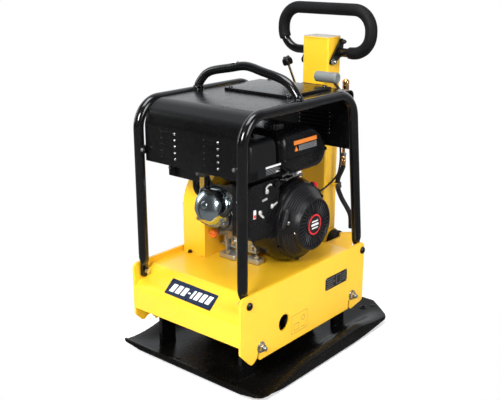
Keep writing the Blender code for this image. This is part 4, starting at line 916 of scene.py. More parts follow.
for side, side_name in SIDES:
    x = side * (PLATE_IN - 0.8)
    mesh = bmesh.new()
    for y0, y1 in ((-250, -205), (-120, -75), (10, 55), (130, 175)):
        weld_bead((x, y0, DECK_Z + 0.8), (x, y1, DECK_Z + 0.8), 2.6, y0, into=mesh)
    weld_bead((x, -362, 156), (x, -362, 210), 2.6, 4.0, into=mesh)
    piece("deck_weld_" + side_name, mesh, "yellow")
    low, high = span(side, 150, 176)
    piece("deck_rail_" + side_name,
          prism(rect(low, 236, high, 271.9, 3, 4), 'Y', -286, 186), "yellow", bevel=0.6)

# ------------------------------------------ rubber buffers and frame bolts
# (x, radius)
BUFFER_PROFILE = [(171.1, 27.6), (173.5, 26.4), (179, 24.8), (187, 24.2), (194, 24.8),
                  (200, 26.4), (202.8, 27.6)]
# (distance out from the plate, radius)
DOME_PROFILE = [(0.1, 11.2), (1.2, 11.7), (3.4, 11.3), (5.8, 9.4), (7.6, 6.2), (8.3, 4.0),
                (8.35, 3.4), (5.6, 3.2)]
for side, side_name in SIDES:
    for end_name, centre in BUFFERS:
        name = "_%s_%s" % (end_name, side_name)
        piece("buffer_rubber" + name, turned(mirrored(BUFFER_PROFILE, side), 'X', centre),
              "rubber", replaces="rubber_buffer" + name)
        mesh = bmesh.new()
        for start, end in ((168.3, 171.0), (203.0, PLATE_IN - 0.25)):
            turned(mirrored([(start, 28.2), (start + 0.7, 29), (end - 0.7, 29), (end, 28.2)],
                            side), 'X', centre, 56, into=mesh)
        piece("buffer_discs" + name, mesh, "zinc")
        bolt("buffer_nut_hw" + name, 'X', centre, side * (PLATE_OUT + 0.1), side, 12.2,
             head=8.8, washer=17.0, stud=9.0, replaces="buffer_nut" + name)
        bolt("buffer_inner_nut" + name, 'X', centre, side * 155.9, -side, 10.2, head=8.0,
             washer=14.0, stud=6.0)
    for end_name, centre in FRAME_BOLTS:
        name = "_%s_%s" % (end_name, side_name)
        profile = [(PLATE_OUT + out, radius) for out, radius in DOME_PROFILE]
        piece("frame_bolt_dome" + name, turned(mirrored(profile, side), 'X', centre, 44),
              "black", replaces="frame_bolt" + name, smooth=50)
        bolt("frame_bolt_nut" + name, 'X', centre, side * (PLATE_IN - 18.2), -side, 9.0,
             head=7.0, finish="zinc" if end_name == "front" else "black")


# --------------------------------------------------------------- pipe loops
def rear_leg_y(z):
    return (LOOP_REAR_TOP + (LOOP_REAR_BOTTOM - LOOP_REAR_TOP) * (LOOP_TOP - z)
            / (LOOP_TOP - LOOP_FOOT))


# Flattened feet: (z, width scale, sideways shift).
LOOP_FEET = [(252, 0.36, 5.0), (262, 0.36, 5.0), (272, 0.36, 5.0), (280, 0.38, 4.8),
             (286, 0.47, 3.4), (292, 0.62, 1.2), (298, 0.78, -0.6), (304, 0.90, -0.6),
             (312, 0.98, -0.2)]
bend = bend_path([(0, LOOP_FRONT, LOOP_LEG_Z), (0, LOOP_FRONT, LOOP_TOP),
                  (0, LOOP_REAR_TOP, LOOP_TOP), (0, rear_leg_y(LOOP_LEG_Z), LOOP_LEG_Z)],
                 80.0, 18)
stations = [(Vector((0, LOOP_FRONT + 5 * min(1.0, max(0.0, (312 - z) / 30)), z)), scale, shift)
            for z, scale, shift in LOOP_FEET]
stations += [(point, 1.0, 0.0) for point in densify(bend, 30)]
stations += [(Vector((0, rear_leg_y(z) - 5 * min(1.0, max(0.0, (312 - z) / 30)), z)), scale,
              shift) for z, scale, shift in reversed(LOOP_FEET)]
for side, side_name in SIDES:
    path = [Vector((side * LOOP_X, point.y, point.z)) for point, _, _ in stations]
    piece("loop_pipe_" + side_name,
          sweep(path, LOOP_RADIUS - 0.05, 36, scale=[scale for _, scale, _ in stations],
                shift=[side * shift for _, _, shift in stations]),
          "black", replaces="frame_loop_" + side_name, smooth=60)

# lifting bar between the loops; (x, z) of its left half
LIFT_ARCH = [(-188, LOOP_TOP + 14.0), (-188, LOOP_TOP + 18.6), (-187.4, 804), (-183.4, 809.5),
             (-171, 824.5), (-154, 838.5), (-126, 850), (-64, 862.5), (0, 873.6)]
arch = LIFT_ARCH + [(-x, z) for x, z in reversed(LIFT_ARCH[:-1])]
piece("lifting_bar_pipe",
      sweep(spline([(x, LIFT_Y, z) for x, z in arch], 6), 12.9, 32, up=(0, 1, 0)), "black",
      replaces="lifting_bar", smooth=60)
for side, side_name in SIDES:
    ring = []
    for k in range(40):
        a = 2 * math.pi * k / 40
        x = side * 188 + 13.8 * math.sin(a)
        z = LOOP_TOP + math.sqrt(max(0.0, 15.6 ** 2 - (x - side * LOOP_X) ** 2)) + 0.6
        ring.append(Vector((x, LIFT_Y + 14.2 * math.cos(a), z)))
    piece("lifting_bar_weld_" + side_name, weld_ring(ring, 2.5, 0.18, 1.9, up=(0, 0, 1)),
          "black")

# --------------------------------------------------------------------- hood
FRONT_LOUVRES = ((-115, -57), (50, 105))       # X ranges of the two banks
FRONT_LOUVRE_Z = [634 + 18 * k for k in range(5)]
REAR_LOUVRE_Z = [640 + 13 * k for k in range(6)]


def hood_profile():
    """The folded sheet seen from the side, 2.9 thick, from the front up and over."""
    line = bend_path([(0, HOOD_FRONT + 1.5, 612), (0, HOOD_FRONT + 1.5, 722), (0, -318, 756),
                      (0, -276, HOOD_TOP - 1.5), (0, HOOD_REAR - 1.5, HOOD_TOP - 1.5),
                      (0, HOOD_REAR - 1.5, 600)], [60, 44, 60, 17], 10)
    outer, inner = [], []
    for i, point in enumerate(line):
        along = (line[min(len(line) - 1, i + 1)] - line[max(0, i - 1)]).normalized()
        normal = Vector((0, -along.z, along.y))
        outer.append((point + normal * 1.45).yz)
        inner.append((point - normal * 1.45).yz)
    return outer + inner[::-1]


def louvre(mesh, x0, x1, z, y, depth):
    """A pressed louvre standing forward of a sheet; its mouth is along the lower edge."""
    columns, steps, height = 22, 8, 6.0
    front = []
    for i in range(columns + 1):
        u = i / columns
        from_end = min(u, 1 - u) * (x1 - x0)
        swell = math.sqrt(max(0.0, 1 - (1 - min(1.0, from_end / 7.0)) ** 2))
        row = []
        for j in range(steps + 1):
            a = math.pi / 2 * (j / steps)
            row.append(mesh.verts.new((
                x0 + (x1 - x0) * u, y - (depth * swell * math.cos(a) + 0.15),
                z - height / 2 + height * math.sin(a) * (0.35 + 0.65 * swell))))
        front.append(row)
    back = [[mesh.verts.new((v.co.x, v.co.y + 0.9, v.co.z - 0.5)) for v in row]
            for row in front]
    for grid, way in ((front, 1), (back, -1)):
        for a, b in zip(grid, grid[1:]):
            for j in range(steps):
                mesh.faces.new([a[j], b[j], b[j + 1], a[j + 1]][::way])
    for i in range(columns):
        mesh.faces.new([front[i][0], back[i][0], back[i + 1][0], front[i + 1][0]])
        mesh.faces.new([front[i][-1], front[i + 1][-1], back[i + 1][-1], back[i][-1]])
    for j in range(steps):
        mesh.faces.new([front[0][j], front[0][j + 1], back[0][j + 1], back[0][j]])
        mesh.faces.new([front[-1][j], back[-1][j], back[-1][j + 1], front[-1][j + 1]])


tool = boxes([((x0 + 2, HOOD_FRONT - 8, z - 3.6), (x1 - 2, HOOD_FRONT + 8, z - 0.4))
              for x0, x1 in FRONT_LOUVRES for z in FRONT_LOUVRE_Z], 0, 2)
boxes([((-26, HOOD_REAR - 8, z - 2.6), (94, HOOD_REAR + 8, z + 1.6)) for z in REAR_LOUVRE_Z],
      0, 2, tool)
piece("hood_sheet", cut(prism(hood_profile(), 'X', -177, 177), tool), "hood",
      replaces="hood", bevel=0.5, segs=2, smooth=40, bevel_angle=50)

mesh = bmesh.new()
for x0, x1 in FRONT_LOUVRES:
    for z in FRONT_LOUVRE_Z:
        louvre(mesh, x0, x1, z, HOOD_FRONT, 3.0)
piece("hood_louvres_front", mesh, "hood", smooth=50, weld=0)
# painted highlights: bright zinc domes on the right ends of the front louvres stand in for the
# glints of light those ends catch
mesh = bmesh.new()
for _, x1 in FRONT_LOUVRES:
    for z in FRONT_LOUVRE_Z:
        lathe([(HOOD_FRONT + out, radius) for out, radius in (
            (1.0, 0), (1.0, 4.0), (-1.2, 3.9), (-2.6, 3.0), (-3.3, 1.6), (-3.5, 0))],
            'Y', (x1 - 1.0, z - 0.5), 24, into=mesh)
piece("hood_louvre_end_glints", mesh, "zinc", smooth=50)
mesh = bmesh.new()
for z in REAR_LOUVRE_Z:
    louvre(mesh, -28, 96, z, HOOD_REAR - 3.2, 5.0)
piece("hood_louvres_rear", mesh, "hood", smooth=50, weld=0)

# lid: a slab with a rolled top edge and a slightly crowned top
LID_Y, LID_HALF_X, LID_HALF_Y = 56.5, 125, 109.5
LID_BOTTOM, LID_TOP = HOOD_TOP + 0.3, HOOD_TOP + 9.8
LID_CORNER, LID_ROLL, LID_CROWN = 9, 3.0, 1.6
stations = [(0.6, LID_BOTTOM), (0.0, LID_BOTTOM + 0.6)]      # (inset, z)
for k in range(1, 6):
    a = math.pi / 2 * k / 5
    stations.append((LID_ROLL * (1 - math.cos(a)),
                     LID_TOP - LID_CROWN - LID_ROLL + LID_ROLL * math.sin(a)))
for k in range(1, 6):
    stations.append((LID_ROLL + (LID_HALF_Y - LID_ROLL) * (k / 6) * 0.95,
                     LID_TOP - LID_CROWN * (1 - k / 6) ** 2))
mesh = stack([(rect(-LID_HALF_X + inset, LID_Y - LID_HALF_Y + inset, LID_HALF_X - inset,
                    LID_Y + LID_HALF_Y - inset, max(0.5, LID_CORNER - inset), 8), z)
              for inset, z in stations])
piece("hood_lid_panel", mesh, "hood", replaces="hood_lid", smooth=35)
mesh = bmesh.new()
for x, y in ((-108, -38), (108, -38), (-108, 150), (108, 150)):
    turned([(HOOD_TOP + 9.0, 7), (HOOD_TOP + 10.6, 6.6), (HOOD_TOP + 11.8, 4.6),
            (HOOD_TOP + 12.2, 2.4), (HOOD_TOP + 11.2, 2.2)], 'Z', (x, y), 28, into=mesh)
piece("hood_lid_screws", mesh, "black")

# brackets and bolts between the hood and the legs of the loops
for side, side_name in SIDES:
    low, high = span(side, 170, 190)
    mesh = boxes([((low, -344, 634), (high, -327.9, 658)),
                  ((low, 181, 634), (high, 205.5, 658))], 1.5, 2)
    piece("hood_bracket_" + side_name, mesh, "black", weld=0)
    piece("hood_bracket_bolt_" + side_name,
          hex_head('Y', (side * 174, 646), -344.2, -350.2, 5.6), "zinc", smooth=30)

mesh = box((-42, HOOD_REAR + 0.3, 752), (42, 241, 783), 2, 2)
boxes([((x, 238, 752.4), (x + 7.4, 246.3, 782.6)) for x in range(-42, 31, 12)], 1.6, 2, mesh)
piece("rest_pad_ribbed", mesh, "rubber", replaces="column_rest_pad", weld=0)

# --------------------------------------------------------------- belt guard
GUARD_CENTRE, GUARD_RADIUS = (-24.5, 424), 136.5


def guard_outline(inset, low):
    arc = [(GUARD_CENTRE[0] + (GUARD_RADIUS - inset) * math.cos(math.pi * k / 48),
            GUARD_CENTRE[1] + (GUARD_RADIUS - inset) * math.sin(math.pi * k / 48))
           for k in range(49)]
    return [(112 - inset, low)] + arc + [(-161 + inset, low)]


mesh = prism(guard_outline(0.05, 278.3), 'X', -201.45, -111)
mesh = cut(mesh, prism(guard_outline(3.0, 270), 'X', -198.5, -114))
mesh = cut(mesh, cylinder('X', CRANK, -125, -100, 24, 48))
piece("belt_guard_shell", mesh, "yellow", replaces="belt_guard", bevel=1.6, segs=3,
      smooth=30, bevel_angle=45)
piece("belt_guard_foot", prism(rect(-190, -171, -122, -161.05, 3, 5), 'Z', 278.35, 282.3),
      "yellow", bevel=0.8)
bolt("belt_guard_bolt", 'Z', (-171, -166), 282.4, 1, 6.4, head=6.0, finish="black",
     washer=8.4)
mesh = bmesh.new()
for degrees in (20, 60, 100, 140, 175):
    hex_head('X', polar(128.5, degrees, GUARD_CENTRE), -201.6, -206.2, 5.5, phase=degrees,
             into=mesh)
piece("belt_guard_screws", mesh, "zinc", smooth=30)

# ---------------------------------------------------------------- crankcase
mesh = box((-104, -88, 306), (36, 96, 497.8), 9, 4)
for x in range(-86, 23, 27):                   # cast ribs on the front and rear walls
    boxes([((x - 2.5, -93, 312), (x + 2.5, -84, 360)),
           ((x - 2.5, 92, 312), (x + 2.5, 100, 470))], 1.5, 2, mesh)
boxes([((-109, -60, z - 2.5), (-100, 70, z + 2.5)) for z in range(330, 433, 34)], 1.5, 2, mesh)
box((-107, -92, 303), (35.8, 99, 312), 3, 3, into=mesh)
piece("crankcase", mesh, "aluminium", replaces="engine_block", smooth=35, weld=0)

mesh = boxes([((-80, -130, 278.4), (-18, -80, 296)), ((-80, 74, 278.4), (-18, 122, 296))], 3, 3)
for x in (-74, -32):                           # webs on the left pair of feet
    boxes([((x, -108, 290), (x + 8, -84, 330)), ((x, 84, 290), (x + 8, 108, 330))], 2, 2, mesh)
boxes([((10, -114, 278.4), (62, -80, 296)), ((10, 86, 278.4), (62, 122, 296))], 3, 3, mesh)
piece("engine_feet", mesh, "aluminium", smooth=35, weld=0)
for i, centre in enumerate(((-49, -119), (48, -102), (-49, 112), (48, 108))):
    bolt("engine_foot_bolt_%d" % i, 'Z', centre, 296.1, 1, 8.2, head=7.2, washer=11.0,
         stud=2.4)
mesh = hex_head('Y', (-52, 322), -88.2, -97, 8.0)
hex_head('Y', (20, 322), -88.2, -97, 8.0, phase=0.6, into=mesh)
piece("drain_plugs", mesh, "zinc", smooth=30)
OIL_FILLER = (-95, 354)                        # (x, z)
piece("oil_filler_boss",
      lathe([(-82, 7), (-82, 15), (-96, 13.2), (-114, 11.2), (-123.2, 11.2), (-123.8, 10.8),
             (-123.8, 7)], 'Y', OIL_FILLER, 40, ring=True), "aluminium", smooth=40)

# --------------------------------- cylinder and head, leaning up from the crank
mesh = box((HEAD_X - 50, -180, CRANK_Z - 50), (HEAD_X + 50, -84, CRANK_Z + 50), 8, 3)
for k in range(8):
    y = -98 - 10.4 * k
    prism(rect(HEAD_X - 64, CRANK_Z - 62, HEAD_X + 64, CRANK_Z + 62, 12, 6), 'Y', y - 1.6,
          y + 1.6, into=mesh)
piece("cylinder_finned", lean(mesh), "darkalu", bevel=0.6, segs=2, weld=0)
mesh = box((HEAD_X - 54, -205.8, CRANK_Z - 50), (HEAD_X + 54, -176.4, CRANK_Z + 52), 5, 3)
for k, half in enumerate((66, 64, 57)):
    y = -182 - 9.6 * k
    prism(rect(HEAD_X - half, CRANK_Z - half + 6, HEAD_X + half, CRANK_Z + half - 4, 14, 6),
          'Y', y - 2.0, y + 2.0, into=mesh)
piece("cylinder_head_finned", lean(mesh), "darkalu", replaces="cylinder_head", bevel=0.6,
      segs=2, weld=0)

# Rocker cover: (y, half width, half height, how octagonal from 0 to 1)
ROCKER_COVER = [
    (-206.2, 61.0, 59.0, 1), (-206.4, 62.2, 60.2, 1), (-210.8, 62.4, 60.4, 1),
    (-212.0, 61.4, 59.4, 1), (-212.4, 58.8, 56.8, 1), (-215, 57.4, 55.4, 1),
    (-217, 58.2, 56.2, 1), (-220, 57.6, 55.6, 1), (-221.4, 55.4, 53.4, 1),
    (-226, 54.4, 52.4, 1), (-234, 52.2, 50.2, 1), (-240, 49.4, 47.4, 0.95),
    (-245, 44.6, 42.8, 0.8), (-248.8, 38.0, 36.4, 0.55), (-251.2, 30.0, 28.8, 0.3),
    (-252.8, 21.0, 20.2, 0.1), (-253.6, 11.0, 10.6, 0), (-253.9, 4.0, 3.6, 0)]


def rocker_row(y, half_w, half_h, octagon, n=64):
    row = []
    for k in range(n):
        a = 2 * math.pi * (k + 0.5) / n
        reach = sum(abs(math.cos(a - math.pi * q / 4)) ** 16.0 for q in range(4)) ** (-1 / 16.0)
        reach = reach * octagon + (1 - octagon)
        row.append((HEAD_X - 3 + half_w * reach * math.cos(a), y,
                    CRANK_Z + 2 + half_h * reach * math.sin(a)))
    return row


mesh = loft([rocker_row(*station) for station in ROCKER_COVER])
piece("rocker_cover_dome", lean(mesh), "chrome", replaces="rocker_cover", smooth=40)
mesh = bmesh.new()
for x, z in ((-56, -42), (56, -42), (-56, 46), (56, 46)):
    centre = (HEAD_X - 3 + x * 0.86, CRANK_Z + z * 1.02)
    turned([(-206.3, 8.0), (-212.6, 7.8), (-213.2, 7.2)], 'Y', centre, 28, into=mesh)
    hex_head('Y', centre, -213.3, -218.6, 5.0, phase=x * 0.1, into=mesh)
piece("rocker_cover_bolts", lean(mesh), "steel", smooth=30)
mesh = turned([(-248, 12), (-253.4, 11.6), (-254.8, 10.6), (-255.4, 8.8)], 'Y',
              (HEAD_X - 4, CRANK_Z + 4), 32)
piece("rocker_cover_boss", lean(mesh), "chrome", smooth=40)

# spark plug with its boot and lead, hose and exhaust
plug = [lean_point(p) for p in ((-76, -192, 470), (-78, -206, 486), (-80, -218, 502))]
mesh = sweep(plug[:2], 7.5, 24)
sweep(plug[1:], 5.5, 24, into=mesh)
piece("spark_plug", mesh, "white", smooth=40, weld=0)
boot = [lean_point(p) for p in ((-79.2, -212, 496), (-81, -222, 508), (-76, -230, 516),
                                (-62, -234, 518), (-48, -234, 516))]
path = spline(boot, 6)
radii = [10.0 - 3.4 * min(1.0, k / (len(path) - 1) * 1.2) for k in range(len(path))]
piece("spark_plug_boot", sweep(path, radii, 24), "rubber", smooth=50)
lead = spline([boot[-1], lean_point((-20, -232, 508)), lean_point((14, -222, 500)),
               lean_point((40, -196, 498)), (76, -140, 536)])
piece("ignition_lead", sweep(lead, 3.6, 16), "rubber", smooth=60)
hose = spline([lean_point((22, -236, 398)), lean_point((40, -240, 400)),
               lean_point((50, -228, 430)), (44, -194, 500), (46, -184, 574)])
piece("breather_hose", sweep(hose, 6.2, 20), "rubber", smooth=60)
mesh = sweep(spline([(-90, -176, 486), (-104, -186, 494), (-107, -196, 512),
                     (-106, -199, 540), (-106, -199, 575)]), 10.5, 28)
sweep(spline([(-62, -176, 492), (-61, -192, 504), (-61, -199, 524), (-61, -199, 575)]), 8.5,
      24, into=mesh)
piece("exhaust_elbow", mesh, "enamel", smooth=60)
mesh = box((HEAD_X - 72, -214, CRANK_Z + 4), (HEAD_X - 64.5, -176, CRANK_Z + 46), 3, 2)
piece("exhaust_flange", lean(mesh), "steel", weld=0)

# ------------------------------------------------------ fan barrel and shroud
# (x, radius) round the wall of the barrel, which has a rolled rim
BARREL_PROFILE = [
    (36.4, 60), (36.4, 120), (37.2, 124.6), (39.4, 128), (43.5, 129.9), (60, 130), (90, 130),
    (98, 129.4), (106, 128), (113, 126), (120, 123.4), (126.5, 120.6), (131, 118.4),
    (133.2, 117.2), (134, 115.8), (134, 109.5), (131.2, 109), (130.4, 113), (118, 119),
    (92, 125), (46, 125), (41, 118), (40.4, 60)]
piece("fan_barrel", lathe(BARREL_PROFILE, 'X', CRANK, 112, ring=True), "enamel",
      replaces="fan_housing", smooth=45)
outline = hull([(0, 410, 124), (-112, 520, 12), (-112, 470, 12), (20, 524, 10)], 56)
mesh = cut(prism(outline, 'X', 16, 36.2), cylinder('X', CRANK, 6, 46, 104, 64))
mesh = cut(mesh, box((10, -200, 250), (46, 200, 420)))
piece("cooling_shroud", mesh, "enamel", bevel=2.0, segs=3, bevel_angle=40)
mesh = bmesh.new()
for degrees in (28, 62, 208, 262, 318):
    centre = polar(117.0, degrees)
    turned([(133.9, 7.4), (137.2, 7.2), (137.6, 6.8)], 'X', centre, 24, into=mesh)
    hex_head('X', centre, 137.7, 142.6, 5.2, phase=degrees, into=mesh)
piece("recoil_flange_bolts", mesh, "black", smooth=30)

# ----------------------------------------------------------- recoil starter
# (x, radius): the inside of the cone, then its outside from the rim to the face
CONE_INSIDE = [(184.9, 30), (180.4, 34), (180, 68), (180, 76), (176, 79.6), (166, 86.6),
               (152, 97.6), (142.6, 103), (139.4, 107), (138.4, 111.4)]
CONE_OUTSIDE = [
    (134.35, 112.5), (134.35, 116.4), (135.2, 117), (139, 117), (140.4, 116.2),
    (141.6, 112.6), (143.4, 108.6), (147, 105.6), (152, 102), (160, 95.9), (168, 89.4),
    (174, 85.0), (179, 82.2), (184, 80.6), (187.6, 79.6), (189.2, 78.2), (189.8, 76.4),
    (189.8, 73.6), (189, 72.4), (186.4, 72.0), (183.6, 71.0), (183.2, 69), (183.2, 37.5),
    (184, 36.4), (187.6, 36.2), (188.8, 35.6), (188.9, 34.6)]
piece("recoil_cone", turned(CONE_INSIDE + CONE_OUTSIDE, 'X', CRANK, 120), "plastic",
      replaces="recoil_cover", smooth=40)

VANES, VANE_TWIST = 34, 0.10
VANE_INNER, VANE_OUTER, VANE_FOOT = 36.8, 72.4, 182.9
mesh = bmesh.new()
for k in range(VANES):
    rows = []
    for i in range(7):
        f = i / 6
        a = 2 * math.pi * k / VANES + VANE_TWIST * math.sin(f * math.pi / 2)
        w = 1.15 + 0.9 * f
        top = 186.6 + 1.9 * math.sin(math.pi * f)
        outward = Vector((0, math.cos(a), math.sin(a)))
        across = Vector((0, -math.sin(a), math.cos(a)))
        middle = Vector((0, *CRANK)) + outward * (VANE_INNER + (VANE_OUTER - VANE_INNER) * f)
        rows.append([middle + across * q + Vector((x, 0, 0)) for q, x in (
            (-w, VANE_FOOT), (-w * 0.9, top - 0.7), (-w * 0.5, top), (w * 0.5, top),
            (w * 0.9, top - 0.7), (w, VANE_FOOT))])
    loft(rows, mesh)
piece("recoil_face_vanes", mesh, "softblack", smooth=40, weld=0)

mesh = bmesh.new()                             # curved ribs on the shoulder of the cone
for first, last in ((90, 147), (186, 244)):
    for x, radius in ((149, 105.2), (154.5, 101.4), (160, 97.2), (165.5, 92.8), (171, 88.6)):
        path = [Vector((x + 1.2, *polar(radius + 1.0, degrees)))
                for degrees in range(first, last, 3)]
        radii = [1.3 + 0.9 * min(1.0, k / 2, (len(path) - 1 - k) / 2)
                 for k in range(len(path))]
        sweep(path, radii, 12, into=mesh)
piece("recoil_shoulder_ribs", mesh, "softblack", smooth=60, weld=0)
mesh = bmesh.new()
for x, y, z, size in ((161, -94, 432, 1.0), (174, -80, 400, 0.55), (154, -88, 464, 0.8)):
    turned([(x - 3, 6.6 * size), (x + 1.4, 6.6 * size), (x + 3.6, 5.6 * size),
            (x + 5.0, 3.4 * size), (x + 5.4, 0)][:4] + [(x + 5.4, 0)], 'X', (y, z), 28,
           into=mesh) if False else lathe(
        [(x - 3, 0), (x - 3, 6.6 * size), (x + 1.4, 6.6 * size), (x + 3.6, 5.6 * size),
         (x + 5.0, 3.4 * size), (x + 5.4, 0)], 'X', (y, z), 28, into=mesh)
piece("recoil_studs", mesh, "zinc", smooth=50, weld=0)

# badge in the middle of the face: a ring, a disc and three bars
piece("badge_ring", turned([(188.7, 31.4), (189.4, 31.4), (189.7, 31.0)], 'X', CRANK, 64),
      "red")
piece("badge_centre", turned([(189.5, 27.4), (189.85, 27.2)], 'X', CRANK, 64), "labelblack")
mesh = bmesh.new()
for z0, z1, half in ((8.6, 12.2, 16), (-12.2, -8.6, 16), (-3.4, 3.4, 19)):
    prism(rounded([(CRANK_Y - half, CRANK_Z + z0), (CRANK_Y + half, CRANK_Z + z0),
                   (CRANK_Y + half - 2, CRANK_Z + z1), (CRANK_Y - half + 2, CRANK_Z + z1)],
                  1.2, 3), 'X', 189.8, 190.0, into=mesh)
piece("badge_bars", mesh, "white")

# recoil handle: a waisted grip with five rings round it
GRIP_X, GRIP_Y = 160, -114
rows = []
for k in range(17):
    f = k / 16
    from_middle = abs(f - 0.5)
    close = 1.0
    if from_middle > 0.40:
        close = math.sin(math.acos(min(1.0, max(-1.0, (from_middle - 0.40) / 0.10))))
    half_x = (7.6 + 1.3 * math.cos((f - 0.5) * 2 * math.pi)) * max(0.25, close)
    half_y = 7.6 * max(0.3, close)
    rows.append([(GRIP_X + half_x * math.cos(2 * math.pi * j / 28),
                  GRIP_Y + half_y * math.sin(2 * math.pi * j / 28), CRANK_Z - 30 + 60 * f)
                 for j in range(28)])
mesh = loft(rows)
for k in range(5):
    z = CRANK_Z - 16 + 8 * k
    lathe([(z - 1.1, 7.0), (z - 0.9, 9.4), (z, 9.9), (z + 0.9, 9.4), (z + 1.1, 7.0)], 'Z',
          (GRIP_X, GRIP_Y), 28, ring=True, into=mesh)
piece("recoil_grip", lean(mesh, math.radians(20)), "softblack", "recoil_handle",
      replaces="recoil_handle", smooth=40, weld=0)


# -------------------------------------------------- stop switch on the barrel
def on_barrel(mesh):
    """Swing a mesh made along +Y from the origin to the switch's place on the barrel."""
    angle = math.atan2(495.0 - CRANK_Z, 97.0 - CRANK_Y)
    bmesh.ops.rotate(mesh, verts=mesh.verts, cent=(0, 0, 0),
                     matrix=Matrix.Rotation(angle, 3, 'X'))
    bmesh.ops.translate(mesh, verts=mesh.verts, vec=(0, *CRANK))
    return mesh


mesh = box((104.1, 130.2, -8.9), (121.9, 136.0, 8.9), 1.6, 3)
boxes([((105.5, 134, -8.2), (120.5, 141.4, 1.5)), ((105.5, 134, 0.5), (120.5, 138.8, 8.2))],
      1.8, 3, mesh)
piece("stop_switch_rocker", on_barrel(mesh), "red", "stop_switch", replaces="stop_switch",
      weld=0)
piece("stop_switch_base", on_barrel(box((101, 118.5, -13), (124, 128.8, 13), 1.0, 2)), "red",
      weld=0)
# leads: (x, radius from the crank line, degrees)
mesh = bmesh.new()
for radius, stations in (
        (1.8, ((112, 129, 36), (112, 139, 30), (114, 143, 23), (112, 137, 16), (108, 126, 13))),
        (1.5, ((116, 128, 36), (119, 135, 31), (118, 136, 25), (112, 125.5, 20)))):
    sweep(spline([(x, *polar(out, degrees)) for x, out, degrees in stations], 6), radius, 12,
          into=mesh)
piece("stop_switch_leads", mesh, "rubber", smooth=60, weld=0)

# ---------------------------------------------------------------- fuel tank
# Slices of the tank: (z, inset of both ends, front y, rear y)
TANK = [
    (554.7, 40, 14, 96), (555.1, 33, 4, 105), (556.4, 26, -8, 114), (559.4, 18, -22, 122),
    (564, 12.5, -36, 127.6), (571, 8.4, -54, 132.4), (580, 6, -72, 137),
    (588, 4.8, -83, 140.6), (597, 3.8, -88.6, 144.2), (606.2, 3.2, -90.2, 146.4),
    (606.8, 0.3, -91.7, 149.4), (607.4, 0.0, -92, 149.8), (610.4, 0.0, -92, 149.8),
    (611.0, 0.3, -91.7, 149.4), (611.6, 3.2, -90.2, 146.0), (622, 3.6, -90.0, 141.8),
    (636, 4.4, -89.6, 133.4), (650, 5.8, -88.6, 124.0), (660, 7.6, -87.2, 116.4),
    (669, 10.4, -84.8, 108), (676, 14.2, -81.4, 99.6), (682, 19.4, -76.4, 90),
    (686.6, 26.4, -69.6, 80.4), (689.4, 36, -60.4, 69.6), (691.2, 50, -47, 56),
    (691.8, 72, -26, 34)]
FUEL_CAP = (66, -46)                           # (x, y)
mesh = stack([(rect(TANK_LO.x + inset, front, TANK_HI.x - inset, rear,
                    max(14.0, 30 - inset * 0.3), 12), z) for z, inset, front, rear in TANK])
mesh = cut(mesh, cylinder('Z', FUEL_CAP, 672, 740, 22.5, 48))
piece("fuel_tank_shell", mesh, "enamel", replaces="fuel_tank", smooth=34)

# (z, share of the full radius); the cap has 20 scallops round it
CAP_LEVELS = [(692.6, 0.955), (693.4, 0.985), (696, 1.0), (705, 1.0), (708.4, 0.97),
              (710.2, 0.91), (710.9, 0.80), (710.9, 0.62), (709.4, 0.58), (709.2, 0.3)]
slices = []
for z, share in CAP_LEVELS:
    depth = 1.7 if share > 0.93 else (0.8 if share > 0.88 else 0.0)
    outline = []
    for k in range(144):
        a = 2 * math.pi * k / 144
        r = 29.9 * share - depth * (1 - (0.5 + 0.5 * math.cos(a * 20)) ** 0.5)
        outline.append((FUEL_CAP[0] + r * math.cos(a), FUEL_CAP[1] + r * math.sin(a)))
    slices.append((outline, z))
mesh = stack(slices)
cylinder('Z', FUEL_CAP, 680, 692.5, 19.5, 48, 1.0, into=mesh)
piece("fuel_cap_ribbed", mesh, "plastic", "fuel_cap", replaces="fuel_cap", smooth=40, weld=0)

mesh = bmesh.new()
for x, y in ((-84, -44), (-84, 60), (14, -44), (14, 60)):
    boxes([((x - 9, y - 14, 498), (x + 9, y + 14, 503)),
           ((x - 9, y - 2.5, 500), (x + 9, y + 2.5, 566))], 1.0, 2, mesh)
piece("tank_stays", mesh, "black", weld=0)

# governor bracket, rods and spring between the tank and the barrel
mesh = box((88, -84, 528), (92, 34, 566), 1.2, 2)
box((92, -84, 541), (116, 34, 544), 1.0, 2, into=mesh)
box((100, -72, 531), (112, -44, 552), 2.0, 3, into=mesh)
piece("governor_bracket", mesh, "black", weld=0)
mesh = sweep(spline([(118, -78, 553), (119, -50, 547), (119, -20, 549), (117, 30, 548)]), 1.5,
             12)
sweep(spline([(117, -60, 560), (119, -40, 562), (118, -12, 553)]), 1.8, 12, into=mesh)
for y, z in ((-50, 547), (-12, 552), (20, 548)):
    hex_head('X', (y, z), 114, 121.5, 4.6, phase=y, into=mesh)
prism(rounded([(-66, 556), (-36, 564), (-36, 568), (-66, 562)], 1.5, 3), 'X', 114, 116.5,
      into=mesh)
coil = [Vector((112 + 2.6 * math.cos(k * 0.9), -30 + 0.5 * k, 556 + 2.6 * math.sin(k * 0.9)))
        for k in range(90)]
sweep(coil, 0.7, 6, into=mesh)
piece("governor_rods", mesh, "zinc", smooth=60, weld=0)

# oil cap
mesh = turned([(-124.4, 9.6), (-127.6, 9.6), (-127.8, 12.2), (-128.6, 12.9), (-142.6, 12.6),
               (-144.4, 11.8), (-145.4, 10.0)], 'Y', OIL_FILLER, 40)
for centre in circle(*OIL_FILLER, 12.3, 14):
    cylinder('Y', centre, -142.4, -129.4, 1.2, 10, 0.5, into=mesh)
box((OIL_FILLER[0] - 9.5, -151.6, OIL_FILLER[1] - 2.6),
    (OIL_FILLER[0] + 9.5, -144.6, OIL_FILLER[1] + 2.6), 1.8, 3, into=mesh)
piece("oil_cap_knob", mesh, "orange", "oil_cap", replaces="oil_cap", smooth=40, weld=0)

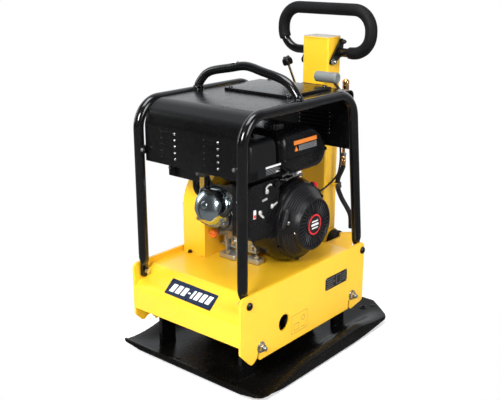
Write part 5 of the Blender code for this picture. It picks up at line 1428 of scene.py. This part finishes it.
# -------------------------------------------- air cleaner and carburettor
AIR_CLEANER = [(570.3, 12), (571, 7.5), (573.6, 3.6), (577.4, 1.4), (582, 0.4), (600, 0.2),
               (604, 0.2), (604.4, 1.6), (607.0, 1.6), (607.4, 0.0), (640, 0.6), (660, 1.8),
               (671, 3.8), (678, 7.4), (683, 12.6), (685.2, 19), (685.9, 30)]   # (z, inset)
piece("air_cleaner_shell",
      inset_stack(CLEANER_LO, CLEANER_HI, AIR_CLEANER, corner=17, least=10.0, taper=0.3),
      "plastic", replaces="air_cleaner", smooth=34)
mesh = boxes([((x - 2.2, -236.5, 582), (x + 2.2, -230, 640)) for x in (96, 105, 114)], 2.0, 3)
boxes([((125, y - 1.6, 578), (130.5, y + 1.6, 600)) for y in range(-222, -194, 9)], 1.4, 3,
      mesh)
boxes([((30, -235, z - 1.2), (86, -230, z + 1.2)) for z in range(616, 659, 6)], 1.0, 2, mesh)
piece("air_cleaner_ribs", mesh, "plastic", weld=0)
mesh = turned([(685, 10), (688, 9.6), (690, 6), (693, 5.4), (693.6, 4.6)], 'Z', (73, -166), 32)
boxes([((x - 6, -168, 687.5), (x + 6, -164, 699)) for x in (62, 84)], 1.8, 3, mesh)
piece("air_cleaner_wing_nut", mesh, "plastic", weld=0)

mesh = box((34, -196, 470), (62, -140, 520), 5, 3)
turned([(28, 22), (32, 23), (34, 22)], 'X', (-168, 494), 36, into=mesh)
cylinder('Z', (48, -168), 440, 472, 19, 36, 3.0, into=mesh)
cylinder('X', (-168, 494), 60, 80, 17, 36, 2.0, into=mesh)
piece("carburettor", mesh, "aluminium", weld=0)
mesh = hex_head('Z', (48, -168), 440, 433, 6.5)
for z in (508, 478):
    for x, seat, crown in ((54, -188, -194), (40, -148, -142)):
        hex_head('Y', (x, z), seat, crown, 4.2, into=mesh)
piece("carburettor_screws", mesh, "brass", smooth=30)
mesh = sweep(spline([(44, -210, 512), (60, -214, 520), (80, -200, 534), (100, -150, 538)]),
             1.6, 12)
sweep(spline([(36, -200, 466), (58, -212, 452), (64, -220, 430)]), 3.0, 14, into=mesh)
piece("carburettor_links", mesh, "zinc", smooth=60, weld=0)

# ------------------------------------------------------------ control panel
PANEL_RADIUS = 117.5                           # of the edge that follows the barrel
outline = rounded([(-228, 386, 12), (-228, 565.8, 10), (-101.2, 565.8, 8), (-101.2, 503, 0)],
                  n=8)
outline += [polar(PANEL_RADIUS, degrees) for degrees in range(140, 189, 2)]
outline.append((-PANEL_RADIUS * 0.979, 386))
piece("control_panel", prism(outline, 'X', PANEL_LO.x, PANEL_X - 0.6), "enamel",
      replaces="carburettor_panel", bevel=2.2, segs=4)
mesh = boxes([((70, -231.5, z - 1.4), (124, -226.5, z + 1.4)) for z in range(420, 457, 9)],
             1.1, 2)
boxes([((PANEL_X - 2, -222, 526), (PANEL_X + 0.9, -184, 529)),
       ((PANEL_X - 2, -222, 400), (PANEL_X + 0.9, -150, 403.5))], 0.9, 2, mesh)
piece("control_panel_ribs", mesh, "enamel", weld=0)
# the lever slots are flat near-black plates just proud of the panel: painted shade in place of
# open slots
for name, corners in (("choke", (-172, 530, -138, 562)), ("speed", (-146, 482, -112, 504)),
                      ("fuel_valve", (-198, 458, -172, 490))):
    piece("lever_slot_" + name, prism(rect(*corners, 4, 5), 'X', PANEL_X - 3, PANEL_X + 0.2),
          "dark", bevel=0.5)


def lever(body, path, start_w, end_w):
    """A hub and a curved tapering blade; path is (y, z, stand-off), from the pivot."""
    x0 = PANEL_X + 0.4
    mesh = turned([(x0, 6.4), (x0 + 0.8, 7.0), (x0 + 2.6, 7.0), (x0 + 3.2, 6.4),
                   (x0 + 4.6, 3.4), (x0 + 5.4, 2.2)], 'X', path[0][:2], 32)
    points = spline([(x0 + 1.7 + out, y, z) for y, z, out in path])
    n = len(points)
    thick = 1.4
    rows = []
    for i, p in enumerate(points):
        along = (points[min(n - 1, i + 1)] - points[max(0, i - 1)]).normalized()
        across = Vector((1, 0, 0)).cross(along).normalized()
        over = along.cross(across)
        w = start_w + (end_w - start_w) * i / (n - 1)
        if i > n - 4:                          # rounded tip
            w *= (0.92, 0.78, 0.5)[i - (n - 3)]
        rows.append([p + across * w * a + over * thick * b for a, b in (
            (-1, -0.6), (-0.85, -1), (0.85, -1), (1, -0.6),
            (1, 0.6), (0.85, 1), (-0.85, 1), (-1, 0.6))])
    loft(rows, mesh)
    piece(body + "_blade", mesh, "bright", body, replaces=body + "_lever", smooth=40, weld=0)


lever("choke", [(-160, 538, 0), (-163, 546, 0), (-160, 553, 1), (-152, 557, 2.5),
                (-144, 555, 4)], start_w=3.6, end_w=2.6)
lever("speed", [(-136, 489, 0), (-130, 490, 0), (-123, 493.5, 1.5), (-117, 498, 4)],
      start_w=3.4, end_w=2.6)
lever("fuel_valve", [(-190, 482, 0), (-188, 476, 0), (-183, 470, 1), (-177, 465, 2.5)],
      start_w=3.6, end_w=3.0)
piece("panel_link_bar",
      prism(rounded([(-180, 511.5), (-158, 513.5), (-158, 519), (-180, 517)], 1.6, 4), 'X',
            PANEL_X - 0.4, PANEL_X + 2.4), "bright", bevel=0.6)
mesh = lathe([(PANEL_X + out, radius) for out, radius in (
    (-1, 0), (-1, 8.6), (1.2, 8.6), (2.0, 9.4), (6.6, 9.4), (8.0, 8.4), (8.4, 6), (8.0, 0))],
    'X', (-114, 550), 40)
for centre in circle(-114, 550, 9.2, 12):
    cylinder('X', centre, PANEL_X + 1.6, PANEL_X + 7.0, 1.1, 10, 0.4, into=mesh)
piece("panel_knob", mesh, "plastic", smooth=40, weld=0)
piece("panel_label_white",
      prism(rect(-217, 468, -206, 494, 1.5, 4), 'X', PANEL_X - 0.5, PANEL_X + 0.25), "white")
piece("panel_label_mark",
      prism(rect(-215.8, 470, -207.2, 480, 1.0, 4), 'X', PANEL_X + 0.25, PANEL_X + 0.45),
      "red")

# ------------------------------------------------------------------ muffler
MUFFLER = [(566.3, 18), (567, 12), (570, 6.8), (575, 3.2), (582, 1.6), (632, 1.4), (633, 0.1),
           (637, 0.1), (638, 1.4), (690, 1.8), (698, 4.0), (703, 8.0), (705.6, 14),
           (705.9, 26)]                        # (z, inset)
piece("muffler_shell",
      inset_stack(MUFFLER_LO, MUFFLER_HI, MUFFLER, corner=24, least=12.0, taper=0.5), "iron",
      replaces="muffler", smooth=34)
left, right, front = MUFFLER_LO.x, MUFFLER_HI.x, MUFFLER_LO.y
slots = [rect(left + 16 + 22 * i, 590 + 18 * j, left + 32 + 22 * i, 597 + 18 * j, 3, 4)
         for i in range(5) for j in range(5)]
outline = rounded([(left + 3, 560, 3), (right - 6, 560, 3), (right - 6, 694, 8),
                   (left + 3, 694, 8)])
piece("muffler_guard", prism(outline, 'Y', front - 6.5, front - 4.8, holes=slots), "black",
      bevel=0.4)
mesh = bmesh.new()
for z in (584, 688):
    for x in (left + 10, right - 10):
        cylinder('Y', (x, z), front - 5, front + 3, 4.5, 20, 0.5, into=mesh)
        hex_head('Y', (x, z), front - 6.6, front - 11, 5.0, into=mesh)
piece("muffler_guard_bolts", mesh, "steel", smooth=30)

# --------------------------------------- CAD nodes kept, with finish and bevel
for node, finish in (("crankshaft", "steel"), ("flywheel_fan", "aluminium"),
                     ("clutch_pulley", "iron"), ("eccentric_shaft_drive", "steel"),
                     ("exciter_pulley", "iron"), ("eccentric_shaft_driven", "steel"),
                     ("drive_belt", "rubber"), ("column_pin", "black")):
    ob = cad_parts[node]
    ob.data.materials.clear()
    ob.data.materials.append(MATERIALS[finish])
    modifier = ob.modifiers.new("bevel", 'BEVEL')
    modifier.width = 0.0006
    modifier.segments = 2
    modifier.limit_method = 'ANGLE'
    modifier.angle_limit = math.radians(35)

# ------------------------------------------------------------ handle column
COLUMN_FRONT, COLUMN_BACK = 247, 318
COLUMN_BOTTOM, COLUMN_TOP, COLUMN_WALL = 236.0, 929.0, 4
mesh = bmesh.new()
outer, inner = (
    [[mesh.verts.new((x, y, z)) for x, y in
      rect(-COLUMN_X + wall, COLUMN_FRONT + wall, COLUMN_X - wall, COLUMN_BACK - wall, r, 8)]
     for z in (COLUMN_BOTTOM, COLUMN_TOP)] for wall, r in ((0, 6.5), (COLUMN_WALL, 3.0)))
for k in range(len(outer[0])):
    j = (k + 1) % len(outer[0])
    mesh.faces.new([outer[0][k], outer[0][j], outer[1][j], outer[1][k]])
    mesh.faces.new([inner[0][k], inner[1][k], inner[1][j], inner[0][j]])
    mesh.faces.new([outer[0][k], inner[0][k], inner[0][j], outer[0][j]])
    mesh.faces.new([outer[1][k], outer[1][j], inner[1][j], inner[1][k]])
mesh = cut(mesh, cylinder('X', COLUMN_PIVOT, -70, 70, 12.7, 40))
mesh = cut(mesh, cylinder('X', HOOP_PIVOT, -70, 70, 8.7, 32))
piece("column_tube", mesh, "yellow", "column", replaces="handle_column", bevel=0.7, segs=2,
      smooth=35, bevel_angle=50)
outline = rect(-COLUMN_X + 0.4, COLUMN_FRONT + 0.4, COLUMN_X - 0.4, COLUMN_BACK - 0.4, 6.0, 8)
piece("column_cap", prism(outline, 'Z', 929.05, 931.9), "capgrey", "column", bevel=0.9,
      segs=3)
mesh = weld_bead((-COLUMN_X + 6, 246.4, 928.6), (COLUMN_X - 6, 246.4, 928.6), 1.5, 1.0)
weld_bead((COLUMN_X + 0.2, 252, 928.6), (COLUMN_X + 0.2, 312, 928.6), 1.5, 2.0, into=mesh)
piece("column_cap_weld", mesh, "yellow", "column")
BUSH_PROFILE = [(60.3, 12.7), (60.3, 31.4), (61.4, 33.2), (63.4, 34), (70, 33.4), (77, 33.4),
                (84, 34), (86.4, 33.0), (87.7, 31), (87.7, 16), (86.6, 14.4), (86.6, 12.7)]
for side, side_name in SIDES:
    piece("column_bush_ring_" + side_name,
          lathe(mirrored(BUSH_PROFILE, side), 'X', COLUMN_PIVOT, 56, ring=True), "rubber",
          replaces="column_bush_" + side_name, smooth=40)
TRUNNION = [(49.6, 14), (52.6, 14), (53.4, 13), (54, 6.4), (55, 6)]
mesh = turned(TRUNNION + [(118.4, 6), (119, 5.4)], 'X', LEVER_PIVOT, 36)
turned(mirrored(TRUNNION, -1) + [(-84.4, 6), (-85, 5.4)], 'X', LEVER_PIVOT, 36, into=mesh)
piece("lever_trunnions", mesh, "zinc", "column", smooth=35)

# throttle lever: eye, arm and grip
THROTTLE_GRIP = (178.0, 820.0)
arm = Vector((0, THROTTLE_GRIP[0] - LEVER_PIVOT[0], THROTTLE_GRIP[1] - LEVER_PIVOT[1]))
along = arm.normalized()
eye = Vector((110, *LEVER_PIVOT))
mesh = lathe([(104.2, 6.6), (104.2, 11.8), (105.2, 12.9), (114.8, 12.9), (115.8, 11.8),
              (115.8, 6.6)], 'X', LEVER_PIVOT, 40, ring=True)
sweep([eye + along * 10, eye + along * (arm.length - 17.4)], 4.5, 24, into=mesh)
piece("throttle_arm", mesh, "iron", "throttle", replaces="throttle_lever", smooth=40, weld=0)
mesh = turned([(54.0, 8), (54.6, 9.2), (56, 9.4), (56.2, 10.2), (56.2, 13.8), (57.4, 15.8),
               (59.4, 16.8), (70, 16.4), (95, 16.3), (120, 16.4), (131.6, 16.8),
               (133.4, 16.2), (135.2, 13.4), (135.4, 12.4), (135.4, 9.4), (134.4, 8.6)], 'X',
              THROTTLE_GRIP, 56)
piece("throttle_grip_barrel", mesh, "grey", "throttle", replaces="throttle_grip", smooth=40)

# lock lever: eye, rod and five-pointed knob
LOCK_KNOB = (201.0, 853.0)
arm = Vector((0, LOCK_KNOB[0] - LEVER_PIVOT[0], LOCK_KNOB[1] - LEVER_PIVOT[1]))
along = arm.normalized()
eye = Vector((-76, *LEVER_PIVOT))
mesh = lathe([(-81.8, 6.6), (-81.8, 10.8), (-80.8, 11.9), (-71.2, 11.9), (-70.2, 10.8),
              (-70.2, 6.6)], 'X', LEVER_PIVOT, 36, ring=True)
sweep([eye + along * 9.5, eye + along * 30, eye + along * (arm.length - 12.5)],
      [5.5, 4.0, 4.0], 24, into=mesh)
piece("lock_rod", mesh, "zinc", "lock", replaces="lock_lever", smooth=40, weld=0)
# (z, how far the section reaches from the core to the full star)
KNOB_LEVELS = [(-12, 0.50), (-11.8, 0.62), (-10.6, 0.78), (-8.0, 0.92), (-4, 0.99), (0, 1.0),
               (4, 0.99), (8.0, 0.92), (10.6, 0.78), (11.8, 0.60), (12.0, 0.40)]
slices = []
for z, share in KNOB_LEVELS:
    outline = []
    for k in range(120):
        a = 2 * math.pi * k / 120
        r = 8.0                                # plain circle on the last level
        if share > 0.45:
            r = 8.5 + (12.6 + 4.6 * math.cos(5 * a - math.radians(120)) - 8.5) * share
        outline.append((r * math.cos(a), r * math.sin(a)))
    slices.append((outline, z))
mesh = stack(slices)
turn = along.to_track_quat('Z', 'Y').to_matrix().to_4x4()
bmesh.ops.transform(mesh, matrix=Matrix.Translation(Vector((-76, *LOCK_KNOB))) @ turn,
                    verts=mesh.verts)
piece("star_knob_moulding", mesh, "plastic", "lock", replaces="star_knob", smooth=60)

# ------------------------------------------- brass fitting, rigid line and hose
LINE = LINE_X, LINE_Y = 90.0, 292.0
mesh = turned([(744, 8.6), (746, 9.2), (750, 9.2), (752, 10.2), (754, 11), (759, 11),
               (760.4, 9.8), (762, 9.8), (763.4, 10.6), (782, 10.6), (783, 9.6), (785, 9.6),
               (786, 11), (794, 11), (796, 10), (797.4, 8), (799, 7.4), (799.8, 6.4)], 'Z',
              LINE, 44)
piece("line_top_fitting", mesh, "brass", "column", replaces="hydraulic_pipe", smooth=40)
mesh = prism(hexagon(*LINE, 12.4, 0.4), 'Z', 736, 743.8)
prism(hexagon(*LINE, 10.0, 0.2), 'Z', 548, 560, into=mesh)
piece("line_hex_nuts", mesh, "zinc", "column", bevel=0.9, segs=3)
piece("line_rigid_pipe",
      sweep([Vector((*LINE, z)) for z in (560.2, 600, 650, 700, 735.8)], 5.0, 28), "brass",
      "column", smooth=60)
mesh = turned([(518, 7.6), (520, 8.4), (536, 8.4), (537, 7.8), (539, 7.8), (540, 8.4),
               (546, 8.4), (547.8, 7.4)], 'Z', LINE, 40)
piece("line_hose_ferrule", mesh, "brass", "column", smooth=40)
hose = spline([(*LINE, 517.7), (*LINE, 511), (83, LINE_Y, 494), (74, 290, 470),
               (74, 289, 440), (91, 290, 404), (122, 294, 356), (124, 300, 306)], 10)
piece("hose_run", sweep(hose, 7.9, 28), "rubber", "column", replaces="hydraulic_hose",
      smooth=60)
mesh = lathe([(447, 8.3), (447, 11), (448, 11.8), (456, 11.8), (457, 11), (457, 8.3)], 'Z',
             (73.4, 289), 36, ring=True)
turned([(262, 7.5), (264, 9), (274, 9), (276, 7.5), (277, 5)], 'Y', (90, 451), 30, into=mesh)
piece("hose_clip", mesh, "iron", "column", weld=0)
piece("hose_bracket", box((49.8, 268, 446), (90, 276, 458), 1.5, 3), "yellow", "column",
      weld=0)
mesh = box((49.8, 284, 690), (84, 300, 696), 1.5, 3)
lathe([(686, 5.4), (686, 8.6), (700, 8.6), (700, 5.4)], 'Z', LINE, 32, ring=True, into=mesh)
piece("line_bracket", mesh, "zinc", "column", weld=0)

# ------------------------------------------------------------- control hoop
hoop = bend_path([(x, HOOP_Y, z) for x, z in (
    (58.5, HOOP_LOW), (HOOP_HALF_W, HOOP_LOW), (HOOP_HALF_W, HOOP_HIGH),
    (-HOOP_HALF_W, HOOP_HIGH), (-HOOP_HALF_W, HOOP_LOW), (-58.5, HOOP_LOW))], 63.0, 20)
hoop = densify(hoop, 24)
piece("hoop_tube", sweep(hoop, 13.95, 36, up=(0, 1, 0)), "black", "hoop",
      replaces="hoop_pipe", smooth=60)
# the foam runs from the lower right, up and over, and stops part way down the left
covered = [Vector((93, HOOP_Y, HOOP_LOW))] + [p for p in hoop if p.x > 93 or p.z > 915]
path = densify(covered, 10)
radii = [18.3] + [19.2] * (len(path) - 2) + [18.3]
piece("hoop_foam",
      sweep(path, radii, 40, up=(0, 1, 0), bore=14.2, wobble=0.008, seed=3.0), "foam", "hoop",
      replaces="hoop_grip", smooth=60)
HOOP_STOP = (312, 914)
ear = hull([(*HOOP_STOP, 10), (*HOOP_PIVOT, 11), (HOOP_Y - 4, HOOP_LOW, 17)], 56)
for side, side_name in SIDES:
    piece("hoop_ear_" + side_name,
          prism(ear, 'X', *span(side, COLUMN_X + 2.6, COLUMN_X + 8.6)), "black", "hoop",
          replaces="hoop_bracket_" + side_name, bevel=1.2, segs=3)
    seat = side * (COLUMN_X + 8.7)
    # the left head is low, to clear the swing of the star knob
    sizes = (dict(radius=8.2, head=6.4, washer=10.5, stud=5.0) if side > 0
             else dict(radius=6.6, head=4.0, washer=8.0))
    bolt("hoop_pivot_bolt_" + side_name, 'X', HOOP_PIVOT, seat, side, body="hoop", **sizes)
    bolt("hoop_stop_bolt_" + side_name, 'X', HOOP_STOP, seat, side, 7.2, head=9.0,
         finish="black", body="hoop", washer=9.0, stud=4.0)
    ring = [Vector((side * (COLUMN_X + 9.4), y, z))
            for y, z in circle(HOOP_Y, HOOP_LOW, 14.6, 36)]
    piece("hoop_weld_" + side_name, weld_ring(ring, 2.0, 0.15, 2.0, up=(1, 0, 0)), "black",
          "hoop")
piece("hoop_pivot_shaft",
      cylinder('X', HOOP_PIVOT, -COLUMN_X - 2.5, COLUMN_X + 2.5, 7.9, 32, 0.5), "steel", "hoop")

# throttle cable from the column down to the engine
cable = spline([(110, 264, 741), (106, 258, 722), (102, 251, 696), (105, 244, 650),
                (113, 237, 600), (121, 228, 552), (124, 212, 512), (123, 186, 494),
                (121, 158, 482), (119, 132, 474), (112, 118, 470)], 10)
ob = piece("throttle_cable", sweep(cable, 3.0, 16), "rubber", body=None, smooth=60)
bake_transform(ob)


# ------------------------------------------------------------------- labels
def slope_patch(mesh, points, low, high):
    """A film on the front slope; points are (x across, distance up the slope)."""
    slab(*([(x, FRAME_FRONT + 0.7852 * up - 0.6193 * out, 222 + 0.6193 * up + 0.7852 * out)
            for x, up in points] for out in (low, high)), into=mesh)


def side_patch(mesh, points, face_x, low, high):
    """A film on a face that looks along +X, at face_x(z); points are (y, z)."""
    slab(*([(face_x(z) + out, y, z) for y, z in points] for out in (low, high)), into=mesh)


mesh = bmesh.new()
slope_patch(mesh, rounded([(-92, 14), (94, 9), (92, 61), (-94, 66)], 2.0, 4), 0.05, 0.35)
piece("front_decal", mesh, "navy")
# slanted bars: (width, gap after, start and end as shares of the height)
BAR_BASE, BAR_HEIGHT, BAR_SLANT = 24, 27, 0.16
mesh = bmesh.new()
x = -80.0
for width, gap, start, end in (
        (17, 6, 0, 1), (17, 6, 0, 1), (16, 5, 0, 1), (9, 7, 0.42, 0.60), (8, 6, 0, 1),
        (16, 6, 0, 1), (16, 6, 0, 1), (16, 0, 0, 1)):
    low, high = BAR_HEIGHT * start, BAR_HEIGHT * end
    slope_patch(mesh, rounded([(x + low * BAR_SLANT, BAR_BASE + low),
                               (x + width + low * BAR_SLANT, BAR_BASE + low),
                               (x + width + high * BAR_SLANT, BAR_BASE + high),
                               (x + high * BAR_SLANT, BAR_BASE + high)], 1.4, 3), 0.36, 0.55)
    x += width + gap
piece("front_decal_bars", mesh, "white")

# labels on the right side plate
piece("side_plate_label",
      prism(rect(28, 191, 145, 232, 5, 6), 'X', PLATE_OUT + 0.05, PLATE_OUT + 0.9),
      "labelblack", bevel=0.25)
mesh = bmesh.new()
for k, y1 in enumerate((76, 70, 80, 66, 74)):
    prism(rect(34, 224.2 - 7 * k, y1, 225.5 - 7 * k), 'X', PLATE_OUT + 0.9, PLATE_OUT + 1.05,
          into=mesh)
prism(rect(86, 197, 112, 227, 2, 4), 'X', PLATE_OUT + 0.9, PLATE_OUT + 1.02,
      holes=[rect(87.2, 198.2, 110.8, 225.8, 1.7, 4)], into=mesh)
for k in range(4):
    prism(rect(118, 222.2 - 7 * k, 139, 223.4 - 7 * k), 'X', PLATE_OUT + 0.9,
          PLATE_OUT + 1.05, into=mesh)
piece("side_label_lines", mesh, "silver")
mesh = bmesh.new()
for centre in ((32, 194.5), (141, 194.5), (32, 228.5), (141, 228.5)):
    lathe([(PLATE_OUT + out, radius) for out, radius in (
        (0.8, 0), (0.8, 2.2), (1.6, 1.8), (2.0, 0.9), (2.05, 0))], 'X', centre, 20, into=mesh)
piece("side_label_rivets", mesh, "steel")
mesh = bmesh.new()
for outline, holes in (
        (rect(-141, 108, -63, 168, 3, 5), [rect(-139.2, 109.8, -64.8, 166.2, 2.2, 5)]),
        (rect(-130, 116, -104, 138, 2, 4), [rect(-128, 118, -106, 136, 1.6, 4)]),
        (circle(-84, 146, 9, 32), [circle(-84, 146, 6.6, 32)]),
        (rect(-94, 116, -74, 118.2), [])):
    prism(outline, 'X', PLATE_OUT + 0.04, PLATE_OUT + 0.16, holes, into=mesh)
piece("side_pictogram", mesh, "tan")


def tank_inset(z):
    for (z0, inset0, _, _), (z1, inset1, _, _) in zip(TANK, TANK[1:]):
        if z0 <= z <= z1:
            return inset0 + (inset1 - inset0) * (z - z0) / (z1 - z0)


def tank_x(z):
    """Just off the tank's right wall, taken as straight between two heights."""
    low, high = TANK_HI.x - tank_inset(626), TANK_HI.x - tank_inset(658)
    return low + (high - low) * (z - 626) / 32 + 0.25


def cleaner_x(z):
    """Just off the air cleaner's right wall, the same at any height."""
    return CLEANER_HI.x + 0.1


mesh = bmesh.new()
side_patch(mesh, rect(-31, 648, 83, 660, 1.0, 3), tank_x, 0.0, 0.35)
side_patch(mesh, rounded([(-30, 629), (-12, 629), (-21, 644.5)], 1.0, 3), tank_x, 0.0, 0.35)
piece("tank_label_stripe", mesh, "labelorange")
mesh = bmesh.new()
side_patch(mesh, rect(-8, 628.5, 80, 645, 1.0, 3), tank_x, 0.0, 0.3)
piece("tank_label_panel", mesh, "silver")
mesh = bmesh.new()
for k in range(4):
    side_patch(mesh, rect(-5, 631 + 3.6 * k, 77 - 6 * (k % 2), 632.2 + 3.6 * k), tank_x, 0.3,
               0.45)
piece("tank_label_lines", mesh, "labelblack")
mesh = bmesh.new()
side_patch(mesh, rect(-159, 601.5, -90, 607.5, 0.8, 3), cleaner_x, 0.0, 0.3)
piece("cleaner_label", mesh, "white")
mesh = bmesh.new()
for k in range(4):
    side_patch(mesh, rect(-158, 583.5 + 4.3 * k, -93 - 5 * (k % 2), 584.9 + 4.3 * k),
               cleaner_x, 0.0, 0.3)
piece("cleaner_label_lines", mesh, "silver")

# blank patch wrapped over the lifting bar: a grid of 8 by 8 cells
mesh = bmesh.new()
under = []
for i in range(9):
    x = -62 + 30 * i / 8
    z = 871.4 + (x + 62) * 0.035
    angles = [math.radians(58 + 9.2 * j) for j in range(9)]
    under.append([mesh.verts.new((x, LIFT_Y + 13.05 * math.cos(a),
                                  z - 0.9 + 13.05 * math.sin(a))) for a in angles])
over = [[mesh.verts.new(v.co + Vector((0, (v.co.y - LIFT_Y) * 0.02, 0.25))) for v in row]
        for row in under]
for i in range(8):
    for j in range(8):
        mesh.faces.new([under[i][j], under[i][j + 1], under[i + 1][j + 1], under[i + 1][j]])
        mesh.faces.new([over[i][j], over[i + 1][j], over[i + 1][j + 1], over[i][j + 1]])
for i in range(8):
    mesh.faces.new([under[i][0], under[i + 1][0], over[i + 1][0], over[i][0]])
    mesh.faces.new([under[i + 1][8], under[i][8], over[i][8], over[i + 1][8]])
for j in range(8):
    mesh.faces.new([under[0][j + 1], under[0][j], over[0][j], over[0][j + 1]])
    mesh.faces.new([under[8][j], under[8][j + 1], over[8][j + 1], over[8][j]])
piece("lifting_bar_patch", mesh, "white", smooth=50)

# ---------------------------------------------------- camera (stage is in metres)
scene = bpy.context.scene
lens = bpy.data.cameras.new("camera")
lens.lens = 58.38
lens.sensor_width = 36.0
lens.clip_end = 60.0
camera = bpy.data.objects.new("camera", lens)
camera.location = (1.5145, -1.8772, 1.1921)
camera.rotation_euler = (math.radians(90 - 17.133), 0.0, math.radians(40.05))
scene.collection.objects.link(camera)
scene.camera = camera

# ---- world: white to the camera, a soft glow from the rear left to everything else
scene.world = bpy.data.worlds.new("studio")
scene.world.use_nodes = True
sky = Tree(scene.world.node_tree)
coords = sky.add('TexCoord')
toward = sky.add('VectorMath', {0: coords.outputs['Generated'], 1: (-0.60, 0.75, 0.28)},
                 operation='DOT_PRODUCT')
strength = sky.add('MapRange', {'From Min': 0.05, 'From Max': 0.95, 'To Min': 0.05,
                                'To Max': 1.05, 'Value': toward.outputs['Value']},
                   interpolation_type='SMOOTHSTEP')
glow = sky.add('Background', {'Color': (0.94, 0.97, 1.0, 1.0),
                              'Strength': strength.outputs[0]})
backdrop = sky.add('Background', {'Color': (1, 1, 1, 1), 'Strength': 1.0})
rays = sky.add('LightPath')
mixed = sky.add('MixShader', {0: rays.outputs['Is Camera Ray'], 1: glow.outputs[0],
                              2: backdrop.outputs[0]})
sky.add('OutputWorld', {0: mixed.outputs[0]})


# ------------------------------------------------------------------- lights
def area(name, location, target, width, height, power):
    data = bpy.data.lights.new(name, 'AREA')
    data.shape = 'RECTANGLE'
    data.size = width
    data.size_y = height
    data.energy = power
    data.color = (1, 1, 1)
    ob = bpy.data.objects.new(name, data)
    ob.location = location
    aim = Vector(target) - Vector(location)
    ob.rotation_euler = aim.to_track_quat('-Z', 'Y').to_euler()
    scene.collection.objects.link(ob)


area("key_front", (0.75, -2.5, 1.95), target=(0, 0, 0.35), width=0.8, height=0.9, power=94)
area("key_right", (2.9, 0.1, 1.7), target=(0, 0, 0.4), width=1.0, height=1.4, power=45)
area("overhead", (0.2, -0.5, 3.0), target=(0, 0, 0.5), width=1.5, height=1.5, power=60)
area("side_left", (-2.6, -1.2, 1.5), target=(0, 0, 0.4), width=0.5, height=1.6, power=14)

# -------------------------------------------------------------------- floor
FLOOR_HALF, FLOOR_Z = 12.0, -0.0005
data = bpy.data.meshes.new("floor")
mesh = bmesh.new()
mesh.faces.new([mesh.verts.new((x, y, FLOOR_Z))
                for x, y in rect(-FLOOR_HALF, -FLOOR_HALF, FLOOR_HALF, FLOOR_HALF)])
mesh.to_mesh(data)
mesh.free()
floor = bpy.data.objects.new("floor", data)
scene.collection.objects.link(floor)
tree = MaterialTree("floor_white")
paint = tree.mix(tree.ramp(tree.noise(3.0), 0.3, 0.7), (0.90, 0.90, 0.90), (0.93, 0.93, 0.93))
tree.feed(tree.shader, {'Base Color': paint, 'Roughness': 0.6, 'Specular IOR Level': 0.1,
                        'Emission Color': (1, 1, 1, 1), 'Emission Strength': 0.34})
# away from the machine the camera sees the floor melt into the white backdrop
geometry = tree.add('NewGeometry')
distance = tree.add('VectorMath', {0: geometry.outputs['Position']}, operation='LENGTH')
far = tree.ramp(distance.outputs['Value'], 0.27, 0.72)
rays = tree.add('LightPath')
melt = tree.multiply(far, rays.outputs['Is Camera Ray'])
white = tree.add('Emission')
seen = tree.add('MixShader', {0: melt, 1: tree.shader.outputs[0], 2: white.outputs[0]})
# glossy rays meet a darker floor, so the black paint keeps its depth
dim = tree.add('Emission', {'Strength': 0.22})
mirror = tree.add('MixShader', {0: rays.outputs['Is Glossy Ray'], 1: seen.outputs[0],
                                2: dim.outputs[0]})
tree.feed(tree.output, {0: mirror.outputs[0]})
data.materials.append(tree.material)

scene.view_settings.view_transform = 'Standard'
scene.view_settings.look = 'None'
scene.view_settings.exposure = 0.0
